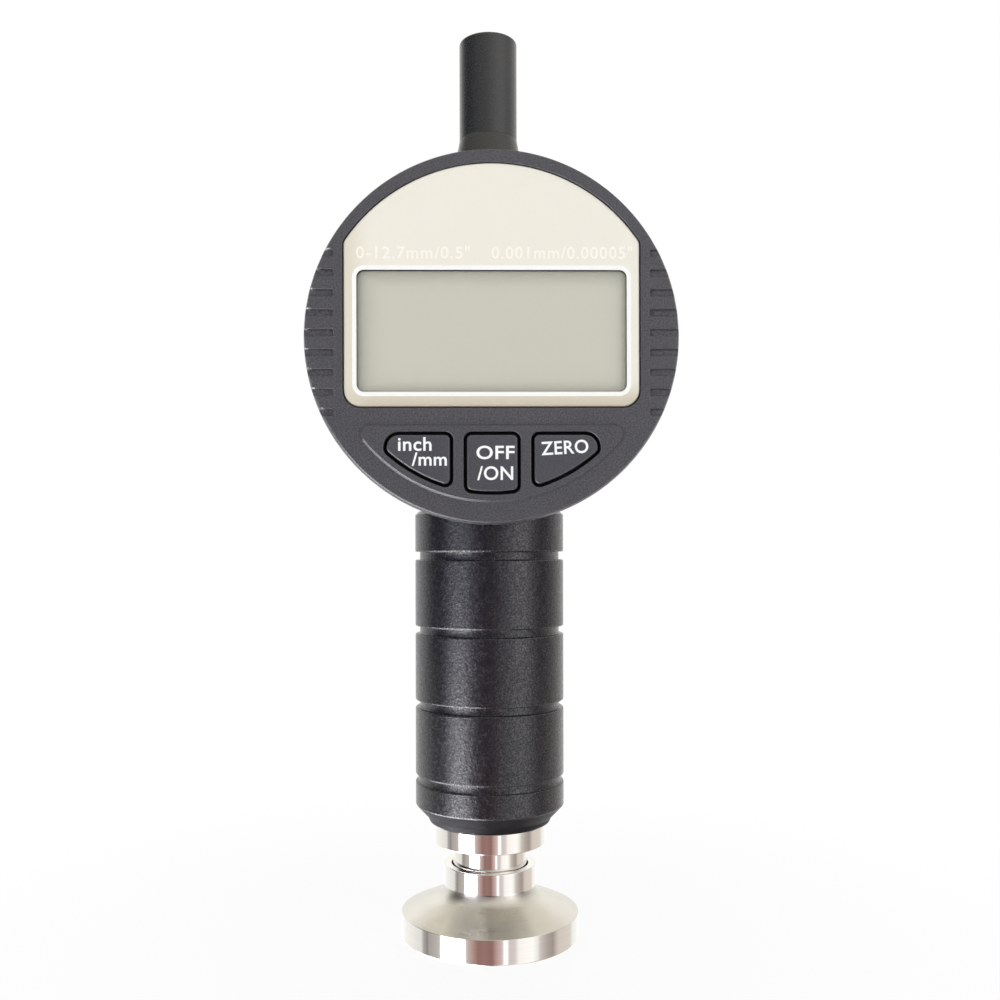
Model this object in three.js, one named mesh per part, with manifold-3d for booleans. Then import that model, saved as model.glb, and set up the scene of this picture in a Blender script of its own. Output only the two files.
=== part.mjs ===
// Surface profile gauge: a digital indicator on a grooved handle, standing on a flat steel foot,
// with a sprung needle that reaches down through the middle of the foot.
// Millimetres, +Z up. The origin is the centre of the foot's flat face, on the stem's axis,
// and the display faces -Y.
import * as THREE from 'three';
import { mergeVertices } from 'three/addons/utils/BufferGeometryUtils.js';
import Module from 'manifold-3d';

// Clearances and shared small values
const seatGap = 0.15; // between pieces that are fixed together
const slideGap = 0.1; // round a sliding shaft, on the radius
const turnGap = 0.4; // between the turning display and the case
const screwGap = 0.1; // round a screw's shank, on the radius
const cutOverrun = 1.5; // how far a cut runs past the surface
const edgeBreak = 0.3; // small chamfer on machined edges

// Foot: flat ring, conical flare and hub
const footRadius = 15.5;
const footRimHeight = 4.3;
const footFlareAngle = 24; // degrees above level
const hubRadius = 8.05;
const hubHeight = 12.6;
const hubFillet = 2.5;
const footFloor = 5; // steel left under the spigot
const needleHoleGap = 0.7; // round the needle, on the radius

// Foot adapter: spigot, neck, collar and threaded tenon
const spigotRadius = 6.5;
const spigotGap = 0.2;
const neckLength = 3.7;
const collarRadius = 9.8;
const collarHeight = 3.6;
const tenonRadius = 7.6;
const tenonLength = 10;
const rodGap = 0.8; // round the extension rod, on the radius

// Handle sleeve
const sleeveRadius = 13;
const sleeveLength = 54.2;
const sleeveTopEdge = 0.6; // chamfer
const sleeveLipRadius = 10.5;
const sleeveLipHeight = 0.9;
const sleeveTaperHeight = 2.2;
const sleeveTaperFoot = 10.9; // radius where the taper meets the lip
const grooveCount = 4;
const groovePitch = 12.9;
const lowestGroove = 7.1; // from the sleeve's end to the lowest groove's lower edge
const grooveHeight = 1.35;
const grooveDepth = 0.8;
const shallowGrooveDepth = 0.4; // the lowest groove only
const handleBoreWall = 6.8; // wall round the wide bore
const stemHold = 19.7; // stem held inside the sleeve
const clampScrewRadius = 1.5;
const clampScrewBelowTop = 16;
const clampScrewInset = 0.6;
const hexSocketShare = 0.55; // of a screw's radius, across the socket's corners
const hexSocketDepth = 1;

// Stem, bushes, spindle, extension rod and needle
const spindleRadius = 2;
const bushWall = 0.85;
const stemWall = 0.9;
const bushLength = 12;
const bushInset = 0.4;
const rodHeadroom = 0.4; // from the raised rod to the stem
const studRadius = 1.15;
const studLength = 5;
const studPocket = 0.5; // spare depth over a stud
const rodRadius = 2.3;
const needleRadius = 1.5;
const needleLength = 16;
const needleHalfAngle = 30; // degrees
const plungeUp = 11.2; // travel from flush with the foot to fully in
const plungeDown = 1.5; // how far the needle stands out of the foot when free
const stemNutHeight = 2;
const stemNutRim = 1.5; // nut's thickness outside the stem, at its corners
const bumperHeight = 1;
const bumperRim = 0.25; // how far the stop ring stays inside the stem's outside

// Case behind the display
const caseStep = 3.65; // from the bezel's outside in to the case's
const caseWall = 1.9;
const caseFrontDepth = 13; // from the stem's axis to the case's front edge
const caseBackDepth = 7.05; // from the stem's axis to the case's back edge
const webFront = 7.2; // from the stem's axis to the front of the inner web
const webThickness = 1.4;
const lowerBossRadius = 6;
const lowerBossDrop = 0.869;
const innerPad = 1.7; // flat pads inside the case, at both bosses
const topBossRadius = 5; // at its upper end
const topBossFoot = 7.1; // radius where the boss meets the case
const topBossLength = 11.1;
const topNeckWall = 0.75;
const topNeckLength = 4;
const postRadius = 1.5;
const webHoleRadius = 4.2;
const portHalfHeight = 4.2; // data port in the case's right side
const portHalfDepth = 2;
const portMiddle = 1.8; // from the stem's axis forwards to the port's middle
const plugLip = 1;
const plugLipThickness = 0.6;
const plugDepth = 1.2;

// Cap over the spindle's upper end
const capLength = 17.1;
const capWall = 1.03;
const capTop = 1.4;
const capHeadroom = 0.9; // over the spindle when it is fully in
const capRound = 0.4;

// Back cover with its lug and its battery well
const coverThickness = 1.8;
const coverChamfer = 0.5;
const lugHoleRadius = 3.25;
const lugRadius = 5.2;
const lugThickness = 6;
const lugReach = 4; // from the cover to the hole's axis
const lugRootHeight = 1.4;
const lugRootFlare = 1.2;
const coverScrewRadius = 0.9;
const coverScrewLength = 6;
const coverScrewHeadRadius = 2;
const coverScrewHeadHeight = 1.1;
const coverBossRadius = 2.2;
const coverBossMargin = 1.1; // from a boss to the case's inner wall
const coverScrewAngles = [67.7, 112.3, 214.5, 325.5]; // degrees from +X towards +Z
const batteryRadius = 5.8;
const batteryThickness = 5.4;
const batteryEdge = 0.9; // bevel round the cell's smaller face
const batteryGap = 0.2;
const wellWall = 0.7;
const wellFloor = 0.7;
const wellMargin = 1; // from the well to the case's inner wall
const wellAngle = 28; // degrees from +X towards +Z
const contactThickness = 0.2;
const contactMargin = 1.3; // from the contact's edge to the well's wall
const batteryCapRim = 1.4; // cap's head beyond the well's bore
const batteryCapHeadHeight = 0.8;
const batteryCapPlug = 0.5; // cap's plug inside the well's bore
const coinSlotWidth = 1.6;
const coinSlotDepth = 0.45;
const coinSlotMargin = 1.2; // from the slot's ends to the cap's rim

// Scale, sensor and guide on the spindle
const carrierHeight = 8;
const carrierHalfWidth = 3.9;
const carrierHalfDepth = 3.3;
const armReach = 7.3; // scale arm beyond the carrier's block
const armThickness = 1.7;
const armHeight = 5;
const scaleGap = 0.4; // air between the scale and the sensor board
const scaleThickness = 0.8;
const scaleLength = 14;
const scaleInset = 0.9; // from the carrier's block to the scale
const sensorThickness = 1;
const sensorEndGap = 4.5; // from the board's outer corners up or down to the case's wall
const sensorMargin = 2.9; // board beyond the scale, on the screws' side
const sensorScrewInset = 1.4;
const sensorScrewEnd = 2.6; // from the board's ends to its screws
const smallScrewRadius = 0.7;
const smallScrewHeadRadius = 1.15;
const smallScrewHeadHeight = 0.7;
const smallScrewBite = 2;
const railInner = 9.2; // from the stem's axis to the guide rail
const railWidth = 3;
const railHalfDepth = 1.8;
const railSlotDepth = 2;
const railEnd = 1; // rail beyond the pin's travel, at both ends
const railFootHeight = 2.5;
const guidePinRadius = 0.7;
const grubRadius = 1;
const springCoils = 10;
const springWireRadius = 0.3;
const springGap = 0.8; // between the spindle and the spring's coils

// Display: bezel, panel, window, glass and drum
const viewHalfWidth = 21.65;
const viewTop = 10.6; // above the head's centre
const viewBottom = 8.9; // below the head's centre
const viewRound = 1.15;
const panelMargin = 2.1; // panel beyond the view, at the sides
const panelBelowView = 2.4;
const panelShoulderRise = 4.5; // from the view's top to where the panel's arch starts
const archDrop = 0.8; // the arch's centre below the head's centre
const panelRound = 2.7;
const shoulderRound = 1.5;
const panelThickness = 0.8;
const panelRecess = 0.3;
const bezelRing = 2.4; // bezel above the panel's arch
const bezelWall = 1.8; // front wall
const bezelSideWall = 1.8;
const bezelEdge = 0.5;
const bezelDepth = 4.2;
const windowThickness = 0.5;
const windowRecess = 0.4; // behind the panel's front
const glassBorder = 0.95;
const glassTopBorder = 1.2;
const glassThickness = 1.5;
const glassRecess = 0.3; // behind the panel's back
const glassFrameWall = 1.5;
const glassFrameDepth = 1.15;
const stripThickness = 1.6;
const stripInset = 1.8; // strips' middle from the glass's edges
const stripEnd = 2.2;
const notchCount = 9;
const notchPitch = 3.185;
const notchRise = 0.5; // the middle notch above the head's centre
const notchHeight = 1.24;
const notchDepth = 0.6;
const notchReach = 4.85; // from the bezel's rim to a notch's inner end, at the middle one

// Drum behind the bezel, which turns in the case
const drumFlange = 1;
const drumWall = 2.5;
const drumFloor = 1;
const drumRunGap = 0.2;
const boardThickness = 1;
const boardSink = 0.7; // board's front behind the drum's flange
const boardShelf = 1.5; // how far the board's shelf stands in from the drum's bore
const drumHoleRadius = 4.2;
const clipThickness = 0.8;
const clipBite = 0.6;
const clipGap = 0.2;
const clipInset = 2.9; // from the drum's flange to the clip
const clipMouthAngle = 24; // degrees of ring left open
const drumScrewRadius = 0.8;
const drumScrewLength = 3;
const drumScrewInset = 1.25; // from the bezel's cavity wall to a screw's axis
const drumScrewAngle = 40.5; // degrees from level
const drumBossRadius = 2;

// Keys and their raised field
const fieldGap = 2.8; // from the panel to the field
const fieldRim = 3.43; // from the bezel's rim to the field's bow
const fieldSide = 2.3; // height of the field's upright sides
const fieldRound = 1.6;
const fieldRise = 0.5;
const fieldEdge = 0.25;
const keyMargin = 1.8; // from the field's edges to the keys
const middleKeyHalfWidth = 4.05;
const keySpacing = 2.7;
const keySide = 2.5; // height of the outer keys' outer sides
const keyRound = 0.8;
const outerKeyRound = 2;
const keyGap = 0.5;
const keyStand = 0.2; // proud of the field
const keyEdge = 0.25;
const keyFlange = 1; // beyond the key, behind the wall
const keyFlangeDepth = 0.65;
const keyNubRadius = 1.4;
const keyNubDrop = 2.2; // below the keys' top edge
const keyTravel = 0.5; // how far a key goes in
const membraneThickness = 0.4;

// Sides of round pieces
const largeSides = 64;
const caseSides = 36;
const drumSides = 28;
const roundSides = 28;
const smallSides = 12;
const screwSides = 8;
const arcSteps = 3; // in a rounded corner
const bowSteps = 14; // in a wide arc
const keyBowSteps = 5; // in a key's bow
const hexSides = 6;
const wireSides = 5;
const springStepsPerCoil = 8;

// Display's outline, counted from the head's centre, and the case behind it
const panelHalfWidth = viewHalfWidth + panelMargin;
const panelBottom = -viewBottom - panelBelowView;
const archRadius = Math.hypot(panelHalfWidth, viewTop + panelShoulderRise + archDrop);
const bezelRadius = archRadius - archDrop + bezelRing;
const bezelCavity = bezelRadius - bezelSideWall;
const caseRadius = bezelRadius - caseStep;

// Places along the stem's axis, upwards from the foot
const spigotBottom = footFloor + seatGap;
const collarUnder = hubHeight + neckLength;
const collarTop = collarUnder + collarHeight;
const sleeveBottom = collarTop + seatGap;
const sleeveTop = sleeveBottom + sleeveLength;
const headCentre = sleeveTop + seatGap + lowerBossDrop + caseRadius;
const stemBottom = sleeveTop + seatGap - stemHold;
const spindleBottom = stemBottom - plungeUp - rodHeadroom;

// Radii that follow from the spindle outwards
const bushBore = spindleRadius + slideGap;
const bushRadius = bushBore + bushWall;
const stemBore = bushRadius + seatGap;
const stemRadius = stemBore + stemWall;
const stemHoleRadius = stemRadius + seatGap;
const needleHoleRadius = needleRadius + needleHoleGap;
const adapterBore = rodRadius + rodGap;
const topNeckRadius = stemBore + topNeckWall;
const capBore = topNeckRadius + seatGap;
const capRadius = capBore + capWall;

// Places inside the case, counted from the head's centre
const caseBore = caseRadius - caseWall;
const padHeight = caseBore - innerPad;
const stemNutBottom = -padHeight + seatGap;
const stemTop = stemNutBottom + stemNutHeight + seatGap;
const bumperBottom = stemTop + seatGap;
const carrierBottom = bumperBottom + bumperHeight + seatGap + plungeDown;
const carrierTop = carrierBottom + carrierHeight;
const carrierMiddle = (carrierBottom + carrierTop) / 2;
const webBack = -webFront + webThickness;
const topBossTop = caseRadius + topBossLength;
const topNeckTop = topBossTop + topNeckLength;
const capBottom = topBossTop + seatGap;
const spindleTop = capBottom + capLength - capTop - capHeadroom - plungeUp;

// Back cover, battery well and cell, counted from the head's centre
const coverFront = caseBackDepth + seatGap;
const coverBack = coverFront + coverThickness;
const wellBore = batteryRadius + batteryGap;
const wellRadius = wellBore + wellWall;
const wellDistance = caseBore - wellMargin - wellRadius;
const batteryCapHeadRadius = wellBore + batteryCapRim;
const batteryCapFront = coverBack - batteryCapHeadHeight;
const batteryBack = batteryCapFront - batteryCapPlug - seatGap;
const batteryFront = batteryBack - batteryThickness;
const contactFront = batteryFront - seatGap - contactThickness;
const wellFloorBack = contactFront - seatGap;

// Display depths: front faces are the more negative
const drumGapFront = -caseFrontDepth - seatGap - seatGap;
const bezelBack = drumGapFront;
const bezelFront = bezelBack - bezelDepth;
const wallBack = bezelFront + bezelWall;
const panelFront = bezelFront + panelRecess;
const panelBack = panelFront + panelThickness;
const glassFront = panelBack + glassRecess;
const glassBack = glassFront + glassThickness;
const drumFlangeFront = bezelBack - drumFlange;
const boardFront = drumFlangeFront + boardSink;
const boardBack = boardFront + boardThickness;
const membraneBack = boardFront - seatGap;
const membraneFront = membraneBack - membraneThickness;
const drumBack = -webFront - turnGap;
const clipFront = bezelBack + clipInset;
const clipBack = clipFront + clipThickness;
const fieldFront = bezelFront - fieldRise;
const keyFront = fieldFront - keyStand;
const keyNubBack = membraneFront - keyTravel - slideGap;

// Glass, drum and keys, counted from the head's centre
const glassHalfWidth = viewHalfWidth + glassBorder;
const glassTop = viewTop + glassTopBorder;
const glassBottom = -viewBottom - glassTopBorder;
const drumRadius = caseBore - drumRunGap;
const drumBore = drumRadius - drumWall + boardShelf;
const drumScrewCircle = bezelCavity - drumScrewInset;
const fieldTop = panelBottom - fieldGap;
const fieldBow = bezelRadius - fieldRim;
const fieldHalfWidth = Math.sqrt(fieldBow ** 2 - (fieldTop - fieldSide) ** 2);
const keyTop = fieldTop - keyMargin;
const keyBow = fieldBow - keyMargin;
const outerKeyInside = middleKeyHalfWidth + keySpacing;
const outerKeyOutside = Math.sqrt(keyBow ** 2 - (keyTop - keySide) ** 2);

const wasm = await Module();
wasm.setup();

// Finishes
const finish = (color, roughness, metalness) =>
  new THREE.MeshStandardMaterial({ color, roughness, metalness });
const greyPlastic = finish(0x5a595e, 0.55, 0);
const keyPlastic = finish(0x505157, 0.5, 0);
const caseMetal = finish(0x2f3033, 0.5, 0.3);
const anodised = finish(0x2b2b30, 0.42, 0.6);
const stainless = finish(0xc9c6c0, 0.25, 1);
const steel = finish(0x9a9b9e, 0.3, 1);
const bronze = finish(0xa9824e, 0.4, 1);
const champagne = finish(0xebe8db, 0.35, 0.3);
const lcdGlass = finish(0xc9c7b8, 0.2, 0);
const clearPlastic = finish(0xe8ecec, 0.08, 0);
const boardGreen = finish(0x2d5a3c, 0.6, 0);
const rubber = finish(0x3a3a3c, 0.9, 0);
const batterySteel = finish(0xc4c4c2, 0.3, 1);

// Closed solid of a geometry: shared corners merged, empty faces dropped, faces turned outwards
function solidOf(geometry) {
  geometry.deleteAttribute('normal');
  geometry.deleteAttribute('uv');
  const merged = mergeVertices(geometry);
  const vertProperties = new Float32Array(merged.attributes.position.array);
  const triangles = [];
  let volume = 0;
  const corners = [new THREE.Vector3(), new THREE.Vector3(), new THREE.Vector3()];
  for (let first = 0; first < merged.index.count; first += 3) {
    const [a, b, c] = merged.index.array.slice(first, first + 3);
    if (a === b || b === c || c === a) continue;
    triangles.push([a, b, c]);
    corners[0].fromArray(vertProperties, a * 3);
    corners[1].fromArray(vertProperties, b * 3);
    corners[2].fromArray(vertProperties, c * 3);
    volume += corners[0].dot(corners[1].cross(corners[2]));
  }
  const facingOut = volume < 0 ? triangles.map(([a, b, c]) => [a, c, b]) : triangles;
  const triVerts = new Uint32Array(facingOut.flat());
  return new wasm.Manifold(new wasm.Mesh({ numProp: 3, vertProperties, triVerts }));
}

// Flat-shaded geometry of a solid
function geometryOf(solid) {
  const mesh = solid.getMesh();
  const geometry = new THREE.BufferGeometry();
  geometry.setAttribute('position', new THREE.BufferAttribute(mesh.vertProperties, 3));
  geometry.setIndex(new THREE.BufferAttribute(mesh.triVerts, 1));
  const facets = geometry.toNonIndexed();
  facets.computeVertexNormals();
  return facets;
}

const join = (first, ...others) => others.reduce((whole, other) => whole.add(other), first);
const cut = (first, ...others) => others.reduce((whole, other) => whole.subtract(other), first);

// Lathe geometry about Y of rows [radius, height]; a profile off the axis closes on its first row
function lathe(profile, sides) {
  const points = profile.map(([radius, height]) => new THREE.Vector2(radius, height));
  const onAxis = profile[0][0] === 0 && profile.at(-1)[0] === 0;
  if (!onAxis) points.push(points[0].clone());
  return new THREE.LatheGeometry(points, sides);
}

// Turned piece about the stem's axis, or about an upright axis at x, y
function turnedUp(profile, sides = roundSides, x = 0, y = 0) {
  return solidOf(lathe(profile, sides).rotateX(Math.PI / 2).translate(x, y, 0));
}

// Turned piece whose axis runs front to back through x, z; heights are depths along +Y
function turnedBack(profile, sides = roundSides, x = 0, z = 0) {
  return solidOf(lathe(profile, sides).translate(x, 0, z));
}

// Turned piece whose axis runs along +X through y, z
function turnedAcross(profile, sides = smallSides, y = 0, z = 0) {
  return solidOf(lathe(profile, sides).rotateZ(-Math.PI / 2).translate(0, y, z));
}

// Profiles of a plain disc or rod, and of a plain ring or tube
const rod = (radius, low, high) => [[0, low], [radius, low], [radius, high], [0, high]];
const ring = (inner, outer, low, high) => [[inner, low], [outer, low], [outer, high], [inner, high]];

// Box between two corners
function block(low, high) {
  const size = high.map((value, axis) => value - low[axis]);
  const middle = high.map((value, axis) => (value + low[axis]) / 2);
  return solidOf(new THREE.BoxGeometry(...size).translate(...middle));
}

// Outline in the XZ plane, given as [x, z] points, as a plate between two depths; an edge bevels
// both of its faces
function plate(outline, front, back, edge = 0) {
  const shape = new THREE.Shape(outline.map(([x, z]) => new THREE.Vector2(x, z)));
  const bevel = edge > 0;
  const depth = back - front - 2 * edge;
  const settings = { depth, bevelEnabled: bevel, bevelThickness: edge, bevelSize: edge, bevelOffset: -edge };
  const geometry = new THREE.ExtrudeGeometry(shape, { ...settings, bevelSegments: 1 });
  return solidOf(geometry.rotateX(Math.PI / 2).translate(0, back - edge, 0));
}

// Points of an arc about x, z between two angles in degrees
function arc(x, z, radius, from, to, steps = arcSteps) {
  return Array.from({ length: steps + 1 }, (_, step) => {
    const angle = THREE.MathUtils.degToRad(from + ((to - from) * step) / steps);
    return [x + radius * Math.cos(angle), z + radius * Math.sin(angle)];
  });
}

// Rectangle with round corners
function roundedRectangle(left, right, bottom, top, round) {
  return [
    ...arc(right - round, top - round, round, 90, 0),
    ...arc(right - round, bottom + round, round, 0, -90),
    ...arc(left + round, bottom + round, round, -90, -180),
    ...arc(left + round, top - round, round, 180, 90),
  ];
}

// Outline with upright sides, a level top and a bow about the centre below, all corners rounded.
// Growing it moves every edge out by the same distance.
function bowOutline(field, grow = 0) {
  const left = field.left - grow;
  const right = field.right + grow;
  const top = field.top + grow;
  const bow = field.bow + grow;
  const leftRound = field.leftRound + grow;
  const rightRound = field.rightRound + grow;
  const round = field.bowRound + grow;
  const turn = (x) => {
    const z = -Math.sqrt((bow - round) ** 2 - x ** 2);
    return { x, z, angle: THREE.MathUtils.radToDeg(Math.atan2(z, x)) };
  };
  const rightTurn = turn(right - round);
  const leftTurn = turn(left + round);
  return [
    ...arc(left + leftRound, top - leftRound, leftRound, 180, 90),
    ...arc(right - rightRound, top - rightRound, rightRound, 90, 0),
    ...arc(rightTurn.x, rightTurn.z, round, 0, rightTurn.angle),
    ...arc(0, 0, bow, rightTurn.angle, leftTurn.angle, field.steps).slice(1, -1),
    ...arc(leftTurn.x, leftTurn.z, round, leftTurn.angle, -180),
  ];
}

// Point at an angle in degrees on a circle about the head's axis
function onCircle(radius, degrees) {
  const angle = THREE.MathUtils.degToRad(degrees);
  return [radius * Math.cos(angle), radius * Math.sin(angle)];
}

// Outlines of the display
const keyField = {
  left: -fieldHalfWidth, right: fieldHalfWidth, top: fieldTop, bow: fieldBow,
  leftRound: fieldRound, rightRound: fieldRound, bowRound: fieldRound, steps: bowSteps,
};
const keyOutlines = {
  key_unit: {
    left: -outerKeyOutside, right: -outerKeyInside, top: keyTop, bow: keyBow,
    leftRound: outerKeyRound, rightRound: keyRound, bowRound: keyRound, steps: keyBowSteps,
  },
  key_power: {
    left: -middleKeyHalfWidth, right: middleKeyHalfWidth, top: keyTop, bow: keyBow,
    leftRound: keyRound, rightRound: keyRound, bowRound: keyRound, steps: keyBowSteps,
  },
  key_zero: {
    left: outerKeyInside, right: outerKeyOutside, top: keyTop, bow: keyBow,
    leftRound: keyRound, rightRound: outerKeyRound, bowRound: keyRound, steps: keyBowSteps,
  },
};

// The panel's outline is the same form upside down: a level foot and an arch above it
function panelOutline(grow = 0) {
  const upsideDown = bowOutline({
    left: -panelHalfWidth, right: panelHalfWidth, top: -(panelBottom + archDrop), bow: archRadius,
    leftRound: panelRound, rightRound: panelRound, bowRound: shoulderRound, steps: bowSteps,
  }, grow);
  return upsideDown.map(([x, z]) => [x, -z - archDrop]);
}

function viewOutline(grow = 0) {
  const width = viewHalfWidth + grow;
  return roundedRectangle(-width, width, -viewBottom - grow, viewTop + grow, viewRound + grow);
}

function glassOutline(grow = 0) {
  const width = glassHalfWidth + grow;
  return roundedRectangle(-width, width, glassBottom - grow, glassTop + grow, viewRound + grow);
}

// Screw whose head faces back or front along Y: direction is where its tip points
function screwAlongY(x, z, headFace, direction, size) {
  const at = (distance) => headFace + direction * distance;
  const profile = [
    [0, at(0)],
    [size.headRadius, at(0)],
    [size.radius, at(size.headHeight)],
    [size.radius, at(size.length)],
    [0, at(size.length)],
  ];
  const socket = rod(size.headRadius * hexSocketShare, at(-cutOverrun), at(size.headHeight / 2));
  return cut(turnedBack(profile, screwSides, x, z), turnedBack(socket, hexSides, x, z));
}

// Hole that fits such a screw with its head sunk flush; the recess is open to the screw's head side
function screwHole(x, z, headFace, direction, size) {
  const at = (distance) => headFace + direction * distance;
  const profile = [
    [0, at(-cutOverrun)],
    [size.headRadius + screwGap, at(-cutOverrun)],
    [size.headRadius + screwGap, at(0)],
    [size.radius + screwGap, at(size.headHeight)],
    [size.radius + screwGap, at(size.length + screwGap)],
    [0, at(size.length + screwGap)],
  ];
  return turnedBack(profile, screwSides, x, z);
}

const coverScrew = {
  radius: coverScrewRadius, headRadius: coverScrewHeadRadius,
  headHeight: coverScrewHeadHeight, length: coverScrewLength,
};
const sensorScrew = {
  radius: smallScrewRadius, headRadius: smallScrewHeadRadius,
  headHeight: smallScrewHeadHeight, length: smallScrewHeadHeight + sensorThickness + smallScrewBite,
};
const railScrew = {
  radius: smallScrewRadius, headRadius: smallScrewHeadRadius,
  headHeight: smallScrewHeadHeight, length: webThickness + seatGap + smallScrewBite,
};
const drumScrew = {
  radius: drumScrewRadius, headRadius: smallScrewHeadRadius,
  headHeight: smallScrewHeadHeight, length: drumScrewLength,
};

// Places of the battery well and the screws
const [wellX, wellZ] = onCircle(wellDistance, wellAngle);
const coverScrewPlaces = coverScrewAngles.map((angle) =>
  onCircle(caseBore - coverBossMargin - coverBossRadius, angle));
const drumScrewPlaces = [drumScrewAngle, 180 - drumScrewAngle, 180 + drumScrewAngle, -drumScrewAngle]
  .map((angle) => onCircle(drumScrewCircle, angle));
const scaleRight = -carrierHalfWidth - scaleInset;
const scaleLeft = -carrierHalfWidth - armReach;
const scaleBack = -seatGap;
const scaleFront = scaleBack - scaleThickness;
const sensorBack = scaleFront - scaleGap;
const sensorFront = sensorBack - sensorThickness;
const sensorLeft = scaleLeft - sensorMargin;
const sensorHalfLength = Math.sqrt(caseBore ** 2 - sensorLeft ** 2) - sensorEndGap;
const sensorScrewX = sensorLeft + sensorScrewInset;
const sensorScrewPlaces = [1, -1].map((side) =>
  [sensorScrewX, side * (sensorHalfLength - sensorScrewEnd)]);
const railMiddle = railInner + railWidth / 2;
const railLow = carrierMiddle - plungeDown - guidePinRadius - railEnd;
const railHigh = carrierMiddle + plungeUp + guidePinRadius + railEnd;
const railScrewPlaces = [railHigh - railFootHeight / 2, railLow + railFootHeight / 2]
  .map((height) => [railMiddle, height]);

// Foot: the outline goes up the rim, up the flare, round the fillet and up the hub
function footBase() {
  const slope = THREE.MathUtils.degToRad(footFlareAngle);
  const filletMiddle = hubRadius + hubFillet;
  const filletFoot = filletMiddle - hubFillet * Math.sin(slope);
  const flareHigh = footRimHeight + (footRadius - filletFoot) * Math.tan(slope);
  const filletHeight = flareHigh + hubFillet * Math.cos(slope);
  const fillet = arc(filletMiddle, filletHeight, hubFillet, 270 - footFlareAngle, 180);
  return turnedUp([
    [needleHoleRadius + edgeBreak, 0],
    [footRadius - edgeBreak, 0],
    [footRadius, edgeBreak],
    [footRadius, footRimHeight],
    ...fillet,
    [hubRadius, hubHeight - edgeBreak],
    [hubRadius - edgeBreak, hubHeight],
    [spigotRadius + spigotGap, hubHeight],
    [spigotRadius + spigotGap, footFloor],
    [needleHoleRadius, footFloor],
    [needleHoleRadius, edgeBreak],
  ]);
}

function footAdapter() {
  return turnedUp([
    [adapterBore, spigotBottom],
    [spigotRadius - edgeBreak, spigotBottom],
    [spigotRadius, spigotBottom + edgeBreak],
    [spigotRadius, collarUnder],
    [collarRadius - edgeBreak, collarUnder],
    [collarRadius, collarUnder + edgeBreak],
    [collarRadius, collarTop - edgeBreak],
    [collarRadius - edgeBreak, collarTop],
    [tenonRadius, collarTop],
    [tenonRadius, collarTop + tenonLength - edgeBreak],
    [tenonRadius - edgeBreak, collarTop + tenonLength],
    [adapterBore, collarTop + tenonLength],
  ]);
}

const clampScrewHeight = sleeveTop - clampScrewBelowTop;

function handleSleeve() {
  const grooves = Array.from({ length: grooveCount }, (_, place) => {
    const low = sleeveBottom + lowestGroove + place * groovePitch;
    const floor = sleeveRadius - (place === 0 ? shallowGrooveDepth : grooveDepth);
    const high = low + grooveHeight;
    return [[sleeveRadius, low], [floor, low], [floor, high], [sleeveRadius, high]];
  });
  const wideBore = sleeveRadius - handleBoreWall;
  const wideBoreTop = stemBottom - studLength / 2;
  const tenonBore = tenonRadius + seatGap;
  const tenonTop = collarTop + tenonLength + edgeBreak;
  const body = turnedUp([
    [tenonBore, sleeveBottom],
    [sleeveLipRadius - edgeBreak, sleeveBottom],
    [sleeveLipRadius, sleeveBottom + edgeBreak],
    [sleeveTaperFoot, sleeveBottom + sleeveLipHeight],
    [sleeveRadius, sleeveBottom + sleeveLipHeight + sleeveTaperHeight],
    ...grooves.flat(),
    [sleeveRadius, sleeveTop - sleeveTopEdge],
    [sleeveRadius - sleeveTopEdge, sleeveTop],
    [stemHoleRadius, sleeveTop],
    [stemHoleRadius, wideBoreTop],
    [wideBore, wideBoreTop],
    [wideBore, tenonTop],
    [tenonBore, tenonTop],
  ]);
  const clampHole = rod(clampScrewRadius + screwGap, 0, sleeveRadius + cutOverrun);
  return cut(body, turnedBack(clampHole, smallSides, 0, clampScrewHeight));
}

// Hexagon-socket set screw in the back of the sleeve, tight on the stem
function handleClampScrew() {
  const outer = sleeveRadius - clampScrewInset;
  const body = turnedBack([
    [0, stemRadius + seatGap],
    [clampScrewRadius - edgeBreak, stemRadius + seatGap],
    [clampScrewRadius, stemRadius + seatGap + edgeBreak],
    [clampScrewRadius, outer],
    [0, outer],
  ], smallSides, 0, clampScrewHeight);
  const socket = rod(clampScrewRadius * hexSocketShare, outer - hexSocketDepth, outer + cutOverrun);
  return cut(body, turnedBack(socket, hexSides, 0, clampScrewHeight));
}

function stem() {
  const top = headCentre + stemTop;
  return turnedUp([
    [stemBore, stemBottom],
    [stemRadius - edgeBreak, stemBottom],
    [stemRadius, stemBottom + edgeBreak],
    [stemRadius, top],
    [stemBore, top],
  ], roundSides);
}

function bush(low, high) {
  return turnedUp([
    [bushBore, low],
    [bushRadius - edgeBreak, low],
    [bushRadius, low + edgeBreak],
    [bushRadius, high],
    [bushBore, high],
  ], smallSides);
}

const lowerBush = () => bush(stemBottom + bushInset, stemBottom + bushInset + bushLength);
const upperBush = () => bush(headCentre + padHeight + bushInset, headCentre + topNeckTop - bushInset);

function stemNut() {
  const low = headCentre + stemNutBottom;
  const body = turnedUp(rod(stemRadius + stemNutRim, low, low + stemNutHeight), hexSides);
  return cut(body, turnedUp(rod(stemHoleRadius, low - cutOverrun, low + stemNutHeight + cutOverrun)));
}

function stopBumper() {
  const low = headCentre + bumperBottom;
  return turnedUp(ring(bushRadius - bumperRim, stemRadius - bumperRim, low, low + bumperHeight), smallSides);
}

function spindle() {
  const top = headCentre + spindleTop;
  const pocket = studRadius + screwGap;
  return turnedUp([
    [0, spindleBottom + studLength + studPocket],
    [pocket, spindleBottom + studLength],
    [pocket, spindleBottom],
    [spindleRadius, spindleBottom],
    [spindleRadius, top - edgeBreak],
    [spindleRadius - edgeBreak, top],
    [0, top],
  ], smallSides);
}

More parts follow.
